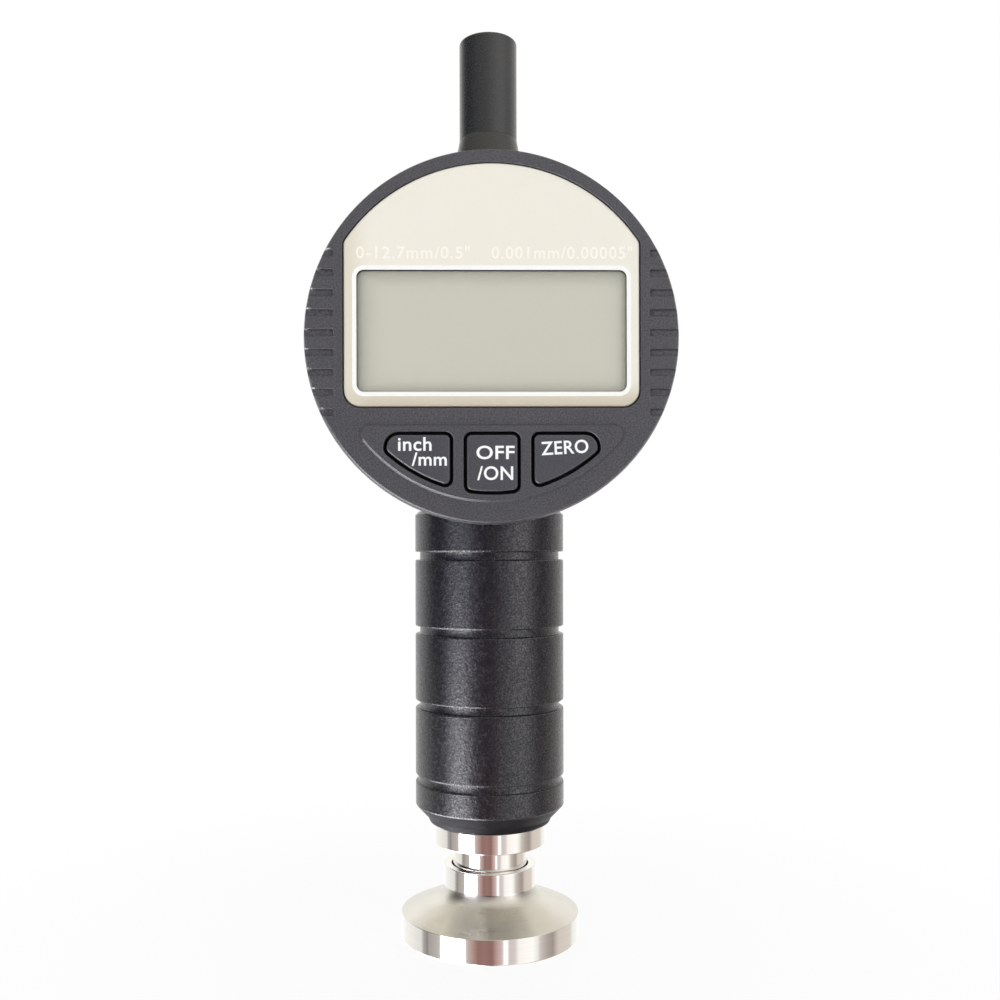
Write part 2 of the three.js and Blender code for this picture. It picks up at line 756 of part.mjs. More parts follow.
function extensionRod() {
  const low = needleLength + seatGap;
  const high = spindleBottom - seatGap;
  const pocket = studRadius + screwGap;
  return turnedUp([
    [0, low + studLength + studPocket],
    [pocket, low + studLength],
    [pocket, low],
    [rodRadius - edgeBreak, low],
    [rodRadius, low + edgeBreak],
    [rodRadius, high - edgeBreak],
    [rodRadius - edgeBreak, high],
    [studRadius, high],
    [studRadius, high + studLength - studPocket],
    [0, high + studLength - studPocket],
  ], smallSides);
}

function probeNeedle() {
  const coneHeight = needleRadius / Math.tan(THREE.MathUtils.degToRad(needleHalfAngle));
  return turnedUp([
    [0, 0],
    [needleRadius, coneHeight],
    [needleRadius, needleLength],
    [studRadius, needleLength],
    [studRadius, needleLength + studLength - studPocket],
    [0, needleLength + studLength - studPocket],
  ], smallSides);
}

// Case: a deep ring with an inner web, the bosses for the stem and the cap, and its posts
function rearHousing() {
  const shell = turnedBack([
    [0, -caseFrontDepth],
    [caseRadius - bezelEdge, -caseFrontDepth],
    [caseRadius, -caseFrontDepth + bezelEdge],
    [caseRadius, caseBackDepth],
    [0, caseBackDepth],
  ], caseSides);
  const lowerBoss = turnedUp(rod(lowerBossRadius, -caseRadius - lowerBossDrop, -padHeight));
  const topBoss = turnedUp([
    [0, padHeight],
    [topBossFoot, padHeight],
    [topBossFoot, caseRadius],
    [topBossRadius, topBossTop - edgeBreak],
    [topBossRadius - edgeBreak, topBossTop],
    [topNeckRadius, topBossTop],
    [topNeckRadius, topNeckTop],
    [0, topNeckTop],
  ]);
  const frontRoom = turnedBack(rod(caseBore, -caseFrontDepth - cutOverrun, -webFront), caseSides);
  const backRoom = turnedBack(rod(caseBore, webBack, caseBackDepth + cutOverrun), caseSides);
  const hollow = cut(shell, frontRoom, backRoom);
  const coverBosses = coverScrewPlaces.map(([x, z]) =>
    turnedBack(rod(coverBossRadius, webBack - webThickness / 2, caseBackDepth), smallSides, x, z));
  const sensorPosts = sensorScrewPlaces.map(([x, z]) =>
    turnedBack(rod(postRadius, webBack - webThickness / 2, sensorFront - seatGap), smallSides, x, z));
  const body = join(hollow, lowerBoss, topBoss, ...coverBosses, ...sensorPosts);
  const coverFace = caseBackDepth + seatGap + coverThickness;
  const coverHoles = coverScrewPlaces.map(([x, z]) => screwHole(x, z, coverFace, -1, coverScrew));
  const sensorHoles = sensorScrewPlaces.map(([x, z]) =>
    screwHole(x, z, sensorBack + smallScrewHeadHeight, -1, sensorScrew));
  const railHoles = railScrewPlaces.map(([x, z]) => screwHole(x, z, -webFront, 1, railScrew));
  const stemHoleLow = -caseRadius - lowerBossDrop - cutOverrun;
  const stemHole = turnedUp(rod(stemHoleRadius, stemHoleLow, -padHeight + cutOverrun));
  const bushHole = turnedUp(rod(stemBore, padHeight - cutOverrun, topNeckTop + cutOverrun), smallSides);
  const cableHole = turnedBack(rod(webHoleRadius, -webFront - cutOverrun, webBack + cutOverrun), smallSides);
  const grooveRadius = caseBore + clipBite + clipGap;
  const clipGroove = turnedBack(
    ring(caseBore - cutOverrun, grooveRadius, clipFront - clipGap, clipBack + clipGap), caseSides);
  const tools = [stemHole, bushHole, cableHole, clipGroove, portHole()];
  return cut(body, ...tools, ...coverHoles, ...sensorHoles, ...railHoles);
}

// Block through the case's right side where the data port is
function portBlock(grow, inside, outside) {
  const depth = portHalfDepth + grow;
  const height = portHalfHeight + grow;
  return block([inside, -portMiddle - depth, -height], [outside, -portMiddle + depth, height]);
}

const portHole = () => portBlock(seatGap, caseBore - cutOverrun, caseRadius + cutOverrun);

// Rubber plug: a lip that follows the case's outside, and the filling of the hole
function dataPortPlug() {
  const lipRing = turnedBack(ring(
    caseRadius + seatGap, caseRadius + seatGap + plugLipThickness,
    -caseFrontDepth, caseBackDepth), largeSides);
  const lip = lipRing.intersect(portBlock(plugLip, 0, caseRadius + cutOverrun));
  const filling = turnedBack(ring(
    caseRadius - plugDepth, caseRadius + seatGap + plugLipThickness / 2,
    -caseFrontDepth, caseBackDepth), largeSides);
  return lip.add(filling.intersect(portBlock(0, 0, caseRadius + cutOverrun)));
}

// Back cover with the lug in its middle and the battery well off to one side
function backCover() {
  const disc = turnedBack([
    [0, coverFront],
    [caseRadius, coverFront],
    [caseRadius, coverBack - coverChamfer],
    [caseRadius - coverChamfer, coverBack],
    [0, coverBack],
  ], largeSides);
  const well = turnedBack(rod(wellRadius, wellFloorBack - wellFloor, coverFront + coverThickness / 2),
    roundSides, wellX, wellZ);
  const wellHollow = turnedBack([
    [0, wellFloorBack],
    [wellBore, wellFloorBack],
    [wellBore, batteryCapFront - seatGap],
    [batteryCapHeadRadius + seatGap, batteryCapFront - seatGap],
    [batteryCapHeadRadius + seatGap, coverBack + cutOverrun],
    [0, coverBack + cutOverrun],
  ], roundSides, wellX, wellZ);
  const screwHoles = coverScrewPlaces.map(([x, z]) => screwHole(x, z, coverBack, -1, coverScrew));
  return cut(join(disc, lug(), well), wellHollow, ...screwHoles);
}

// Lug: a round-ended tab with a cross hole, flared where it leaves the cover
function lug() {
  const holeDepth = coverBack + lugReach;
  const root = coverBack - coverThickness / 2;
  const outline = [
    [root, lugRadius + lugRootFlare],
    [coverBack, lugRadius + lugRootFlare],
    [coverBack + lugRootHeight, lugRadius],
    ...arc(holeDepth, 0, lugRadius, 90, -90, bowSteps),
    [coverBack + lugRootHeight, -lugRadius],
    [coverBack, -lugRadius - lugRootFlare],
    [root, -lugRadius - lugRootFlare],
  ];
  const shape = new THREE.Shape(outline.map(([depth, height]) => new THREE.Vector2(depth, height)));
  const settings = { depth: lugThickness, bevelEnabled: false };
  const tab = new THREE.ExtrudeGeometry(shape, settings);
  tab.rotateX(Math.PI / 2).rotateZ(Math.PI / 2).translate(-lugThickness / 2, 0, 0);
  const hole = rod(lugHoleRadius, -lugThickness, lugThickness);
  return cut(solidOf(tab), turnedAcross(hole, smallSides, holeDepth, 0));
}

function batteryCap() {
  const headBack = batteryCapFront + batteryCapHeadHeight;
  const body = turnedBack([
    [0, batteryCapFront - batteryCapPlug],
    [wellBore - seatGap, batteryCapFront - batteryCapPlug],
    [wellBore - seatGap, batteryCapFront],
    [batteryCapHeadRadius, batteryCapFront],
    [batteryCapHeadRadius, headBack - edgeBreak],
    [batteryCapHeadRadius - edgeBreak, headBack],
    [0, headBack],
  ], roundSides, wellX, wellZ);
  const halfSlot = batteryCapHeadRadius - coinSlotMargin;
  const slot = block(
    [wellX - halfSlot, headBack - coinSlotDepth, wellZ - coinSlotWidth / 2],
    [wellX + halfSlot, headBack + cutOverrun, wellZ + coinSlotWidth / 2]);
  return cut(body, slot);
}

function battery() {
  return turnedBack([
    [0, batteryFront],
    [batteryRadius - batteryEdge, batteryFront],
    [batteryRadius, batteryFront + batteryEdge],
    [batteryRadius, batteryBack - edgeBreak],
    [batteryRadius - edgeBreak, batteryBack],
    [0, batteryBack],
  ], roundSides, wellX, wellZ);
}

const batteryContact = () => turnedBack(
  rod(wellBore - contactMargin, contactFront, contactFront + contactThickness), smallSides, wellX, wellZ);

function spindleCap() {
  const low = capBottom;
  const high = capBottom + capLength;
  const body = turnedUp([
    [0, low],
    [capRadius, low],
    [capRadius, high - capRound],
    [capRadius - capRound, high],
    [0, high],
  ]);
  return cut(body, turnedUp(rod(capBore, low - cutOverrun, high - capTop)));
}

// Carrier clamped on the spindle, with the scale's arm on one side and the guide pin on the other
function scaleCarrier() {
  const bore = spindleRadius + seatGap;
  const body = block(
    [-carrierHalfWidth, -carrierHalfDepth, carrierBottom],
    [carrierHalfWidth, carrierHalfDepth, carrierTop]);
  const arm = block(
    [scaleLeft, 0, carrierMiddle - armHeight / 2],
    [-carrierHalfWidth + seatGap, armThickness, carrierMiddle + armHeight / 2]);
  const spindleHole = turnedUp(rod(bore, carrierBottom - cutOverrun, carrierTop + cutOverrun), smallSides);
  const pinHole = turnedAcross(rod(guidePinRadius + screwGap, bore / 2, carrierHalfWidth + cutOverrun),
    smallSides, 0, carrierMiddle);
  const grubHole = turnedBack(rod(grubRadius + screwGap, 0, carrierHalfDepth + cutOverrun),
    smallSides, 0, carrierMiddle);
  return cut(join(body, arm), spindleHole, pinHole, grubHole);
}

const carrierGrub = () => turnedBack(
  rod(grubRadius, spindleRadius + seatGap, carrierHalfDepth - seatGap), smallSides, 0, carrierMiddle);

const guidePin = () => turnedAcross(
  rod(guidePinRadius, spindleRadius + seatGap, railInner + railSlotDepth - seatGap),
  smallSides, 0, carrierMiddle);

const scaleStrip = () => block(
  [scaleLeft, scaleFront, carrierBottom + edgeBreak],
  [scaleRight, scaleBack, carrierBottom + edgeBreak + scaleLength]);

function sensorBoard() {
  const board = block(
    [sensorLeft, sensorFront, -sensorHalfLength],
    [scaleRight, sensorBack, sensorHalfLength]);
  const holes = sensorScrewPlaces.map(([x, z]) => turnedBack(
    rod(smallScrewRadius + screwGap, sensorFront - cutOverrun, sensorBack + cutOverrun), smallSides, x, z));
  return cut(board, ...holes);
}

// Guide rail: a slotted bar beside the spindle on two feet that stand on the web
function guideRail() {
  const bar = block([railInner, -railHalfDepth, railLow], [railInner + railWidth, railHalfDepth, railHigh]);
  const slotHalf = guidePinRadius + slideGap;
  const slot = block(
    [railInner - cutOverrun, -slotHalf, railLow - cutOverrun],
    [railInner + railSlotDepth, slotHalf, railHigh + cutOverrun]);
  const feet = railScrewPlaces.map(([, height]) => block(
    [railInner, webBack + seatGap, height - railFootHeight / 2],
    [railInner + railWidth, -slotHalf - edgeBreak, height + railFootHeight / 2]));
  const holes = railScrewPlaces.map(([x, z]) => screwHole(x, z, -webFront, 1, railScrew));
  return cut(join(cut(bar, slot), ...feet), ...holes);
}

// Helix of the return spring, from the carrier up to the case's upper pad
class SpringHelix extends THREE.Curve {
  getPoint(share) {
    const low = carrierTop + springWireRadius + seatGap;
    const high = padHeight - springWireRadius - seatGap;
    const radius = spindleRadius + springGap + springWireRadius;
    const angle = share * springCoils * Math.PI * 2;
    return new THREE.Vector3(radius * Math.cos(angle), radius * Math.sin(angle), low + (high - low) * share);
  }
}

function returnSpring() {
  const wire = new THREE.Shape(arc(0, 0, springWireRadius, 0, 360, wireSides).slice(1)
    .map(([x, y]) => new THREE.Vector2(x, y)));
  const steps = springCoils * springStepsPerCoil;
  return solidOf(new THREE.ExtrudeGeometry(wire, { steps, extrudePath: new SpringHelix() }));
}

// Bezel: a shallow cup with the panel's pocket, the raised key field, the key wells and the notches
function frontBezel() {
  const shell = turnedBack([
    [0, bezelFront],
    [bezelRadius - bezelEdge, bezelFront],
    [bezelRadius, bezelFront + bezelEdge],
    [bezelRadius, bezelBack - edgeBreak],
    [bezelRadius - edgeBreak, bezelBack],
    [0, bezelBack],
  ], largeSides);
  const field = plate(bowOutline(keyField), fieldFront, wallBack, fieldEdge);
  const room = turnedBack(rod(bezelCavity, wallBack, bezelBack + cutOverrun), largeSides);
  const bosses = drumScrewPlaces.map(([x, z]) =>
    turnedBack(rod(drumBossRadius, wallBack - bezelWall / 2, drumFlangeFront - seatGap), smallSides, x, z)
      .intersect(turnedBack(rod(bezelCavity + bezelSideWall / 2, bezelFront, bezelBack), largeSides)));
  const pocket = plate(panelOutline(seatGap), bezelFront - cutOverrun, panelBack + seatGap);
  const glassHole = plate(glassOutline(seatGap), bezelFront - cutOverrun, wallBack + cutOverrun);
  const wells = Object.values(keyOutlines).map((outline) =>
    plate(bowOutline(outline, keyGap), fieldFront - cutOverrun, wallBack + cutOverrun));
  const screwHoles = drumScrewPlaces.map(([x, z]) => screwHole(x, z, bezelBack, -1, drumScrew));
  const body = join(cut(join(shell, field), room), ...bosses);
  return cut(body, pocket, glassHole, ...wells, ...screwHoles, ...gripNotches());
}

function gripNotches() {
  const inner = bezelRadius - notchReach;
  const outer = bezelRadius + cutOverrun;
  const depths = [bezelFront - cutOverrun, bezelFront + notchDepth];
  const notches = [];
  for (let place = 0; place < notchCount; place += 1) {
    const middle = notchRise + (place - (notchCount - 1) / 2) * notchPitch;
    const low = middle - notchHeight / 2;
    const high = middle + notchHeight / 2;
    notches.push(block([inner, depths[0], low], [outer, depths[1], high]));
    notches.push(block([-outer, depths[0], low], [-inner, depths[1], high]));
  }
  return notches;
}

const facePanel = () => cut(
  plate(panelOutline(), panelFront, panelBack),
  plate(viewOutline(), panelFront - cutOverrun, panelBack + cutOverrun));

const displayWindow = () => plate(
  viewOutline(-seatGap), panelFront + windowRecess, panelFront + windowRecess + windowThickness);

const displayGlass = () => plate(glassOutline(), glassFront, glassBack);

function glassFrame() {
  const front = wallBack + seatGap;
  const outline = glassOutline(seatGap + glassFrameWall);
  const frame = plate(outline, front, front + glassFrameDepth);
  return cut(frame, plate(glassOutline(seatGap), front - cutOverrun, front + glassFrameDepth + cutOverrun));
}

function contactStrip(middle) {
  const halfWidth = glassHalfWidth - stripEnd;
  const half = stripThickness / 2;
  return block(
    [-halfWidth, glassBack + seatGap, middle - half],
    [halfWidth, boardFront - seatGap, middle + half]);
}

const mainBoard = () => turnedBack(
  rod(drumBore - seatGap, boardFront, boardBack), drumSides);

function keypadMembrane() {
  const boardEdge = turnedBack(rod(drumBore - seatGap, membraneFront - cutOverrun, boardFront), drumSides);
  return plate(bowOutline(keyField), membraneFront, membraneBack).intersect(boardEdge);
}

// Drum that carries the board, closes the bezel and turns in the case
function displayDrum() {
  const flangeRadius = bezelCavity - seatGap;
  const innerRadius = drumRadius - drumWall;
  const body = turnedBack([
    [drumBore, drumFlangeFront],
    [flangeRadius, drumFlangeFront],
    [flangeRadius, bezelBack],
    [drumRadius, bezelBack],
    [drumRadius, clipFront - clipGap],
    [drumRadius - clipBite - clipGap, clipFront - clipGap],
    [drumRadius - clipBite - clipGap, clipBack + clipGap],
    [drumRadius, clipBack + clipGap],
    [drumRadius, drumBack],
    [drumHoleRadius, drumBack],
    [drumHoleRadius, drumBack - drumFloor],
    [innerRadius, drumBack - drumFloor],
    [innerRadius, boardBack + seatGap],
    [drumBore, boardBack + seatGap],
  ], drumSides);
  const holes = drumScrewPlaces.map(([x, z]) => screwHole(x, z, bezelBack, -1, drumScrew));
  return cut(body, ...holes);
}

// Open ring sprung into the case's groove; it holds the drum in and lets it turn
function retainingClip() {
  const body = turnedBack(ring(
    drumRadius - clipBite, caseBore + clipBite, clipFront, clipBack), caseSides);
  const reach = caseBore + clipBite + cutOverrun;
  const half = reach * Math.tan(THREE.MathUtils.degToRad(clipMouthAngle / 2));
  const mouth = block([-half, clipFront - cutOverrun, 0], [half, clipBack + cutOverrun, reach]);
  return cut(body, mouth);
}

// Key: a cap that stands through the field, a flange behind the wall and a nub over the membrane
function key(outline) {
  const back = wallBack + seatGap;
  const flangeBack = back + keyFlangeDepth;
  const cap = plate(bowOutline(outline), keyFront, back + keyEdge + keyEdge, keyEdge);
  const flange = plate(bowOutline(outline, keyFlange), back, flangeBack);
  const middle = (outline.left + outline.right) / 2;
  const nub = rod(keyNubRadius, back, keyNubBack);
  return join(cap, flange, turnedBack(nub, smallSides, middle, keyTop - keyNubDrop));
}

const gauge = new THREE.Group();
const head = new THREE.Group();
head.position.z = headCentre;
gauge.add(head);

function addPiece(group, name, solid, material) {
  const mesh = new THREE.Mesh(geometryOf(solid), material);
  mesh.name = name;
  group.add(mesh);
}

// Foot and handle
addPiece(gauge, 'foot_base', footBase(), stainless);
addPiece(gauge, 'foot_adapter', footAdapter(), stainless);
addPiece(gauge, 'handle_sleeve', handleSleeve(), anodised);
addPiece(gauge, 'handle_clamp_screw', handleClampScrew(), steel);

// Stem and bushes
addPiece(gauge, 'stem', stem(), steel);
addPiece(gauge, 'lower_bush', lowerBush(), bronze);
addPiece(gauge, 'upper_bush', upperBush(), bronze);
addPiece(gauge, 'stem_nut', stemNut(), steel);
addPiece(gauge, 'stop_bumper', stopBumper(), rubber);

// Plunger
addPiece(gauge, 'spindle', spindle(), steel);
addPiece(gauge, 'extension_rod', extensionRod(), steel);
addPiece(gauge, 'probe_needle', probeNeedle(), steel);
addPiece(head, 'scale_carrier', scaleCarrier(), caseMetal);
addPiece(head, 'carrier_grub_screw', carrierGrub(), steel);
addPiece(head, 'guide_pin', guidePin(), steel);
addPiece(head, 'scale_strip', scaleStrip(), boardGreen);

// Case and what it holds
addPiece(head, 'rear_housing', rearHousing(), caseMetal);
addPiece(head, 'spindle_cap', spindleCap(), caseMetal);
addPiece(head, 'back_cover', backCover(), caseMetal);
coverScrewPlaces.forEach(([x, z], place) =>
  addPiece(head, `cover_screw_${place + 1}`, screwAlongY(x, z, coverBack, -1, coverScrew), steel));
addPiece(head, 'battery', battery(), batterySteel);
addPiece(head, 'battery_contact', batteryContact(), steel);
addPiece(head, 'battery_cap', batteryCap(), caseMetal);
addPiece(head, 'data_port_plug', dataPortPlug(), rubber);
addPiece(head, 'sensor_board', sensorBoard(), boardGreen);
sensorScrewPlaces.forEach(([x, z], place) => {
  const screw = screwAlongY(x, z, sensorBack + smallScrewHeadHeight + seatGap, -1, sensorScrew);
  addPiece(head, `sensor_screw_${place + 1}`, screw, steel);
});
addPiece(head, 'guide_rail', guideRail(), steel);
railScrewPlaces.forEach(([x, z], place) =>
  addPiece(head, `rail_screw_${place + 1}`, screwAlongY(x, z, -webFront, 1, railScrew), steel));
addPiece(head, 'return_spring', returnSpring(), steel);
addPiece(head, 'retaining_clip', retainingClip(), steel);

// Turning display
addPiece(head, 'front_bezel', frontBezel(), greyPlastic);
addPiece(head, 'face_panel', facePanel(), champagne);
addPiece(head, 'display_window', displayWindow(), clearPlastic);
addPiece(head, 'display_glass', displayGlass(), lcdGlass);
addPiece(head, 'glass_frame', glassFrame(), keyPlastic);
addPiece(head, 'contact_strip_upper', contactStrip(glassTop - stripInset), rubber);
addPiece(head, 'contact_strip_lower', contactStrip(glassBottom + stripInset), rubber);
addPiece(head, 'main_board', mainBoard(), boardGreen);
addPiece(head, 'keypad_membrane', keypadMembrane(), rubber);
addPiece(head, 'display_drum', displayDrum(), greyPlastic);
drumScrewPlaces.forEach(([x, z], place) =>
  addPiece(head, `drum_screw_${place + 1}`, screwAlongY(x, z, bezelBack, -1, drumScrew), steel));

// Keys
for (const [name, outline] of Object.entries(keyOutlines)) {
  addPiece(head, name, key(outline), keyPlastic);
}

export default gauge;
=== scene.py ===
"""Surface profile gauge: a digital indicator on a grooved handle with a flat steel foot.

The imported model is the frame. This script dresses it: smooth turned and moulded surfaces over
the visible parts, printed legends, finishes for every part, studio light and the camera.
All sizes in the classes are millimetres, in the row frame: +Z up, the display faces -Y, and the
origin is the centre of the foot's flat face. Meshes are written in metres.
"""

from __future__ import annotations

import logging
import math
from dataclasses import dataclass, field
from enum import Enum
from typing import Callable, Sequence

import bmesh
import bpy
import numpy as np
from mathutils import Matrix, Vector

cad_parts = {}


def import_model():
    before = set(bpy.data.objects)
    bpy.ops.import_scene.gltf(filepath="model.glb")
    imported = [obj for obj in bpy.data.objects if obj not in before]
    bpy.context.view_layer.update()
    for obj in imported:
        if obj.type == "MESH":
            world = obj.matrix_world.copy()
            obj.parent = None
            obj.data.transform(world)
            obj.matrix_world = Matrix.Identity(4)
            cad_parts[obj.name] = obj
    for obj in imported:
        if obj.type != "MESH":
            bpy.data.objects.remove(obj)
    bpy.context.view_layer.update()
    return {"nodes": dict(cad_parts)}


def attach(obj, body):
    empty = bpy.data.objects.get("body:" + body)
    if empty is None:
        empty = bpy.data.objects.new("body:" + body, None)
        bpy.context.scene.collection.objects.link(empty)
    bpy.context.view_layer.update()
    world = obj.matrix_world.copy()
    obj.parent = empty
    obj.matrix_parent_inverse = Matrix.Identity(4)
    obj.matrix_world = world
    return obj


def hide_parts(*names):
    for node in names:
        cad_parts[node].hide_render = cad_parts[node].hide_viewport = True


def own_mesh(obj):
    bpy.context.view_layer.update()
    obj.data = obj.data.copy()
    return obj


LOG = logging.getLogger("profile_gauge")
MM = 0.001
HEAD_HEIGHT = 101.8  # the display's centre above the foot's face
SHARP = 32.0  # angle in degrees past which an edge stays sharp
MERGE = 1e-7  # metres within which doubled points become one
NO_LENGTH = 1e-8  # metres below which an edge is dissolved
STRAIGHT = 1.55  # half angle in radians past which a corner counts as straight
MOST_REACH = 0.49  # share of a side that the round of one corner may use up
INK_FILM = 0.03  # thickness of printed words and lines
CAPITAL = 0.72  # height of a capital letter as a share of the font's size
NOISE_BAND = (0.3, 0.7)  # values between which nearly all of a noise lies
PLAIN_GLOSS = 0.5  # the shader's own specular level
PAST = 1.0  # how far a cutting tool goes past the face that it opens

Array = np.ndarray
Outline = Callable[[float], Array]
Pair = tuple[float, float]
Rgb = tuple[float, float, float]
Piece = bpy.types.Object
Socket = bpy.types.NodeSocket


class Plane(Enum):
    """How a section's two coordinates and its height lie in the row frame."""

    LEVEL = "level"  # section in XY, heights along +Z
    UPRIGHT = "upright"  # section in XZ, heights are depths along +Y
    SIDEWAYS = "sideways"  # section in YZ, heights along +X


class Carving(Enum):
    """What a boolean does with its tools."""

    CUT = "DIFFERENCE"
    JOIN = "UNION"


# Outlines and profiles


def arc(centre: Pair, radius: float, start: float, end: float, steps: int) -> Array:
    """Points of an arc: centre + radius * (cos a, sin a), with a going evenly from start to end.

    Args:
        centre: Middle of the arc.
        radius: Its radius.
        start: First angle in degrees.
        end: Last angle in degrees.
        steps: Number of chords.

    Returns:
        Array of shape (steps + 1, 2).
    """
    angle = np.radians(np.linspace(start, end, steps + 1))
    return np.column_stack((centre[0] + radius * np.cos(angle), centre[1] + radius * np.sin(angle)))


def circle(sides: int, x: float = 0.0, y: float = 0.0) -> Outline:
    """Outline function of a circle about x, y: grown by g, it is the circle of radius g."""
    angle = np.linspace(0.0, 2.0 * math.pi, sides, endpoint=False)
    return lambda grow: np.array([x, y]) + grow * np.column_stack((np.cos(angle), np.sin(angle)))


def rectangle(left: float, right: float, low: float, high: float, corner: float, steps: int = 6) -> Outline:
    """Outline function of a rectangle with round corners.

    Args:
        left: Left edge.
        right: Right edge.
        low: Lower edge.
        high: Upper edge.
        corner: Radius of its corners.
        steps: Chords in a corner.

    Returns:
        Function of a growth that moves every edge out and adds to the corner's radius.
    """

    def outline(grow: float) -> Array:
        """Points of the grown rectangle, corner by corner.

        Args:
            grow: How far the edges move out.

        Returns:
            Array of shape (n, 2).
        """
        turn = max(corner + grow, 1e-3)
        inner = (left - grow + turn, right + grow - turn, low - grow + turn, high + grow - turn)
        return np.vstack((
            arc((inner[1], inner[3]), turn, 90, 0, steps),
            arc((inner[1], inner[2]), turn, 0, -90, steps),
            arc((inner[0], inner[2]), turn, -90, -180, steps),
            arc((inner[0], inner[3]), turn, 180, 90, steps),
        ))

    return outline


def box(x: float, y: float, half_x: float, half_y: float, corner: float, steps: int = 6) -> Outline:
    """Outline function of a rectangle about x, y, given by half its width and half its height."""
    return rectangle(x - half_x, x + half_x, y - half_y, y + half_y, corner, steps)


@dataclass(frozen=True)
class Bow:
    """Outline with upright sides, a level top and a bow about the middle below; or upside down."""

    left: float
    right: float
    top: float
    bow: float
    left_corner: float
    right_corner: float
    bow_corner: float
    bow_steps: int = 48
    steps: int = 8
    upside_down: bool = False
    lift: float = 0.0

    def __call__(self, grow: float) -> Array:
        """Points of the outline with every edge moved out by grow.

        The side corners turn on circles tangent to the side and to the bow: their middles lie at
        the bow's radius less the corner's, straight above or below the side's own offset.

        Args:
            grow: How far the edges move out.

        Returns:
            Array of shape (n, 2).
        """
        left, right, top = self.left - grow, self.right + grow, self.top + grow
        bow = self.bow + grow
        corner = self.bow_corner + grow
        first, last = self.left_corner + grow, self.right_corner + grow

        def turn(x: float) -> tuple[Pair, float]:
            """Middle of the side corner at x, and the angle of the bow's end there."""
            z = -math.sqrt((bow - corner) ** 2 - x**2)
            return (x, z), math.degrees(math.atan2(z, x))

        right_turn, right_angle = turn(right - corner)
        left_turn, left_angle = turn(left + corner)
        points = np.vstack((
            arc((left + first, top - first), first, 180, 90, self.steps),
            arc((right - last, top - last), last, 90, 0, self.steps),
            arc(right_turn, corner, 0, right_angle, self.steps),
            arc((0.0, 0.0), bow, right_angle, left_angle, self.bow_steps)[1:-1],
            arc(left_turn, corner, left_angle, -180, self.steps),
        ))
        if self.upside_down:
            points = points * (1.0, -1.0) + (0.0, self.lift)
        return points


def rounded(corners: Sequence[tuple[float, ...]], steps: int = 5) -> Array:
    """Profile of straight lines whose corners are rounded by true arcs.

    At a corner with directions u and v to its neighbours and radius r, the arc starts and ends
    r / tan(half the angle between u and v) away from the corner, and it is swept by spherical
    interpolation between the radii to those two points.

    Args:
        corners: Rows (across, height) or (across, height, radius).
        steps: Chords in each arc.

    Returns:
        Array of shape (n, 2).
    """
    rows = [tuple(row) + (0.0,) * (3 - len(row)) for row in corners]
    points: list[Array] = []
    for place, (across, height, radius) in enumerate(rows):
        here = np.array([across, height])
        if radius <= 0.0 or place in (0, len(rows) - 1):
            points.append(here[None])
            continue
        before = np.array(rows[place - 1][:2]) - here
        after = np.array(rows[place + 1][:2]) - here
        lengths = np.linalg.norm(before), np.linalg.norm(after)
        u, v = before / lengths[0], after / lengths[1]
        half = math.acos(float(np.clip(u @ v, -1.0, 1.0))) / 2.0
        if half > STRAIGHT:
            points.append(here[None])
            continue
        reach = min(radius / math.tan(half), MOST_REACH * min(lengths))
        turn = reach * math.tan(half)
        middle = here + (u + v) / np.linalg.norm(u + v) * turn / math.sin(half)
        start, end = here + u * reach - middle, here + v * reach - middle
        sweep = math.pi - 2.0 * half
        share = np.linspace(0.0, 1.0, steps + 1)[:, None]
        spokes = np.sin((1 - share) * sweep) * start + np.sin(share * sweep) * end
        points.append(middle + spokes / math.sin(sweep))
    return np.vstack(points)


def rod(radius: float, low: float, high: float) -> Array:
    """Profile of a plain rod between two heights."""
    return np.array([(0.0, low), (radius, low), (radius, high), (0.0, high)])


def plate(inset: float, faces: Pair, rounds: Pair, edge: float = 0.0, steps: int = 5) -> Array:
    """Profile of a flat plate, from inside one face round the edge to inside the other.

    Args:
        inset: How far inside the outline the faces' flat caps begin.
        faces: Heights of the two faces.
        rounds: Radii of the two edges.
        edge: Growth at the plate's edge.
        steps: Chords in each round.

    Returns:
        Array of shape (n, 2).
    """
    near, far = faces
    return rounded([(-inset, near), (edge, near, rounds[0]), (edge, far, rounds[1]), (-inset, far)], steps)


# Meshes


def add(name: str, data: bpy.types.ID) -> Piece:
    """New object of the scene for a mesh, a curve, a lamp or a camera, at the origin.

    Args:
        name: Name of the object.
        data: What it shows.

    Returns:
        The new object.
    """
    made = bpy.data.objects.new(name, data)
    bpy.context.scene.collection.objects.link(made)
    return made


def vectors(parts: bpy.types.bpy_prop_collection, kind: str) -> Array:
    """One vector for each part of a mesh, in metres.

    Args:
        parts: The mesh's vertices or polygons.
        kind: Name of the vector, such as co, center or normal.

    Returns:
        Array of shape (n, 3).
    """
    flat = np.empty(len(parts) * 3, dtype=np.float32)
    parts.foreach_get(kind, flat)
    return flat.reshape(-1, 3)


def move_points(mesh: bpy.types.Mesh, points: Array) -> None:
    """Gives a mesh's vertices new places, in metres."""
    mesh.vertices.foreach_set("co", points.astype(np.float32).ravel())
    mesh.update()


def lay(section: Array, heights: Array, plane: Plane) -> Array:
    """Section coordinates and heights as points of the row frame, in millimetres.

    Args:
        section: Pairs of section coordinates.
        heights: Height of each pair, or one for all.
        plane: How the section lies.

    Returns:
        Array of one dimension more, with three coordinates.
    """
    a, b = section[..., 0], section[..., 1]
    h = np.broadcast_to(heights, a.shape)
    order = {
        Plane.LEVEL: (a, b, h),
        Plane.UPRIGHT: (a, h, b),
        Plane.SIDEWAYS: (h, a, b),
    }
    return np.stack(order[plane], axis=-1)


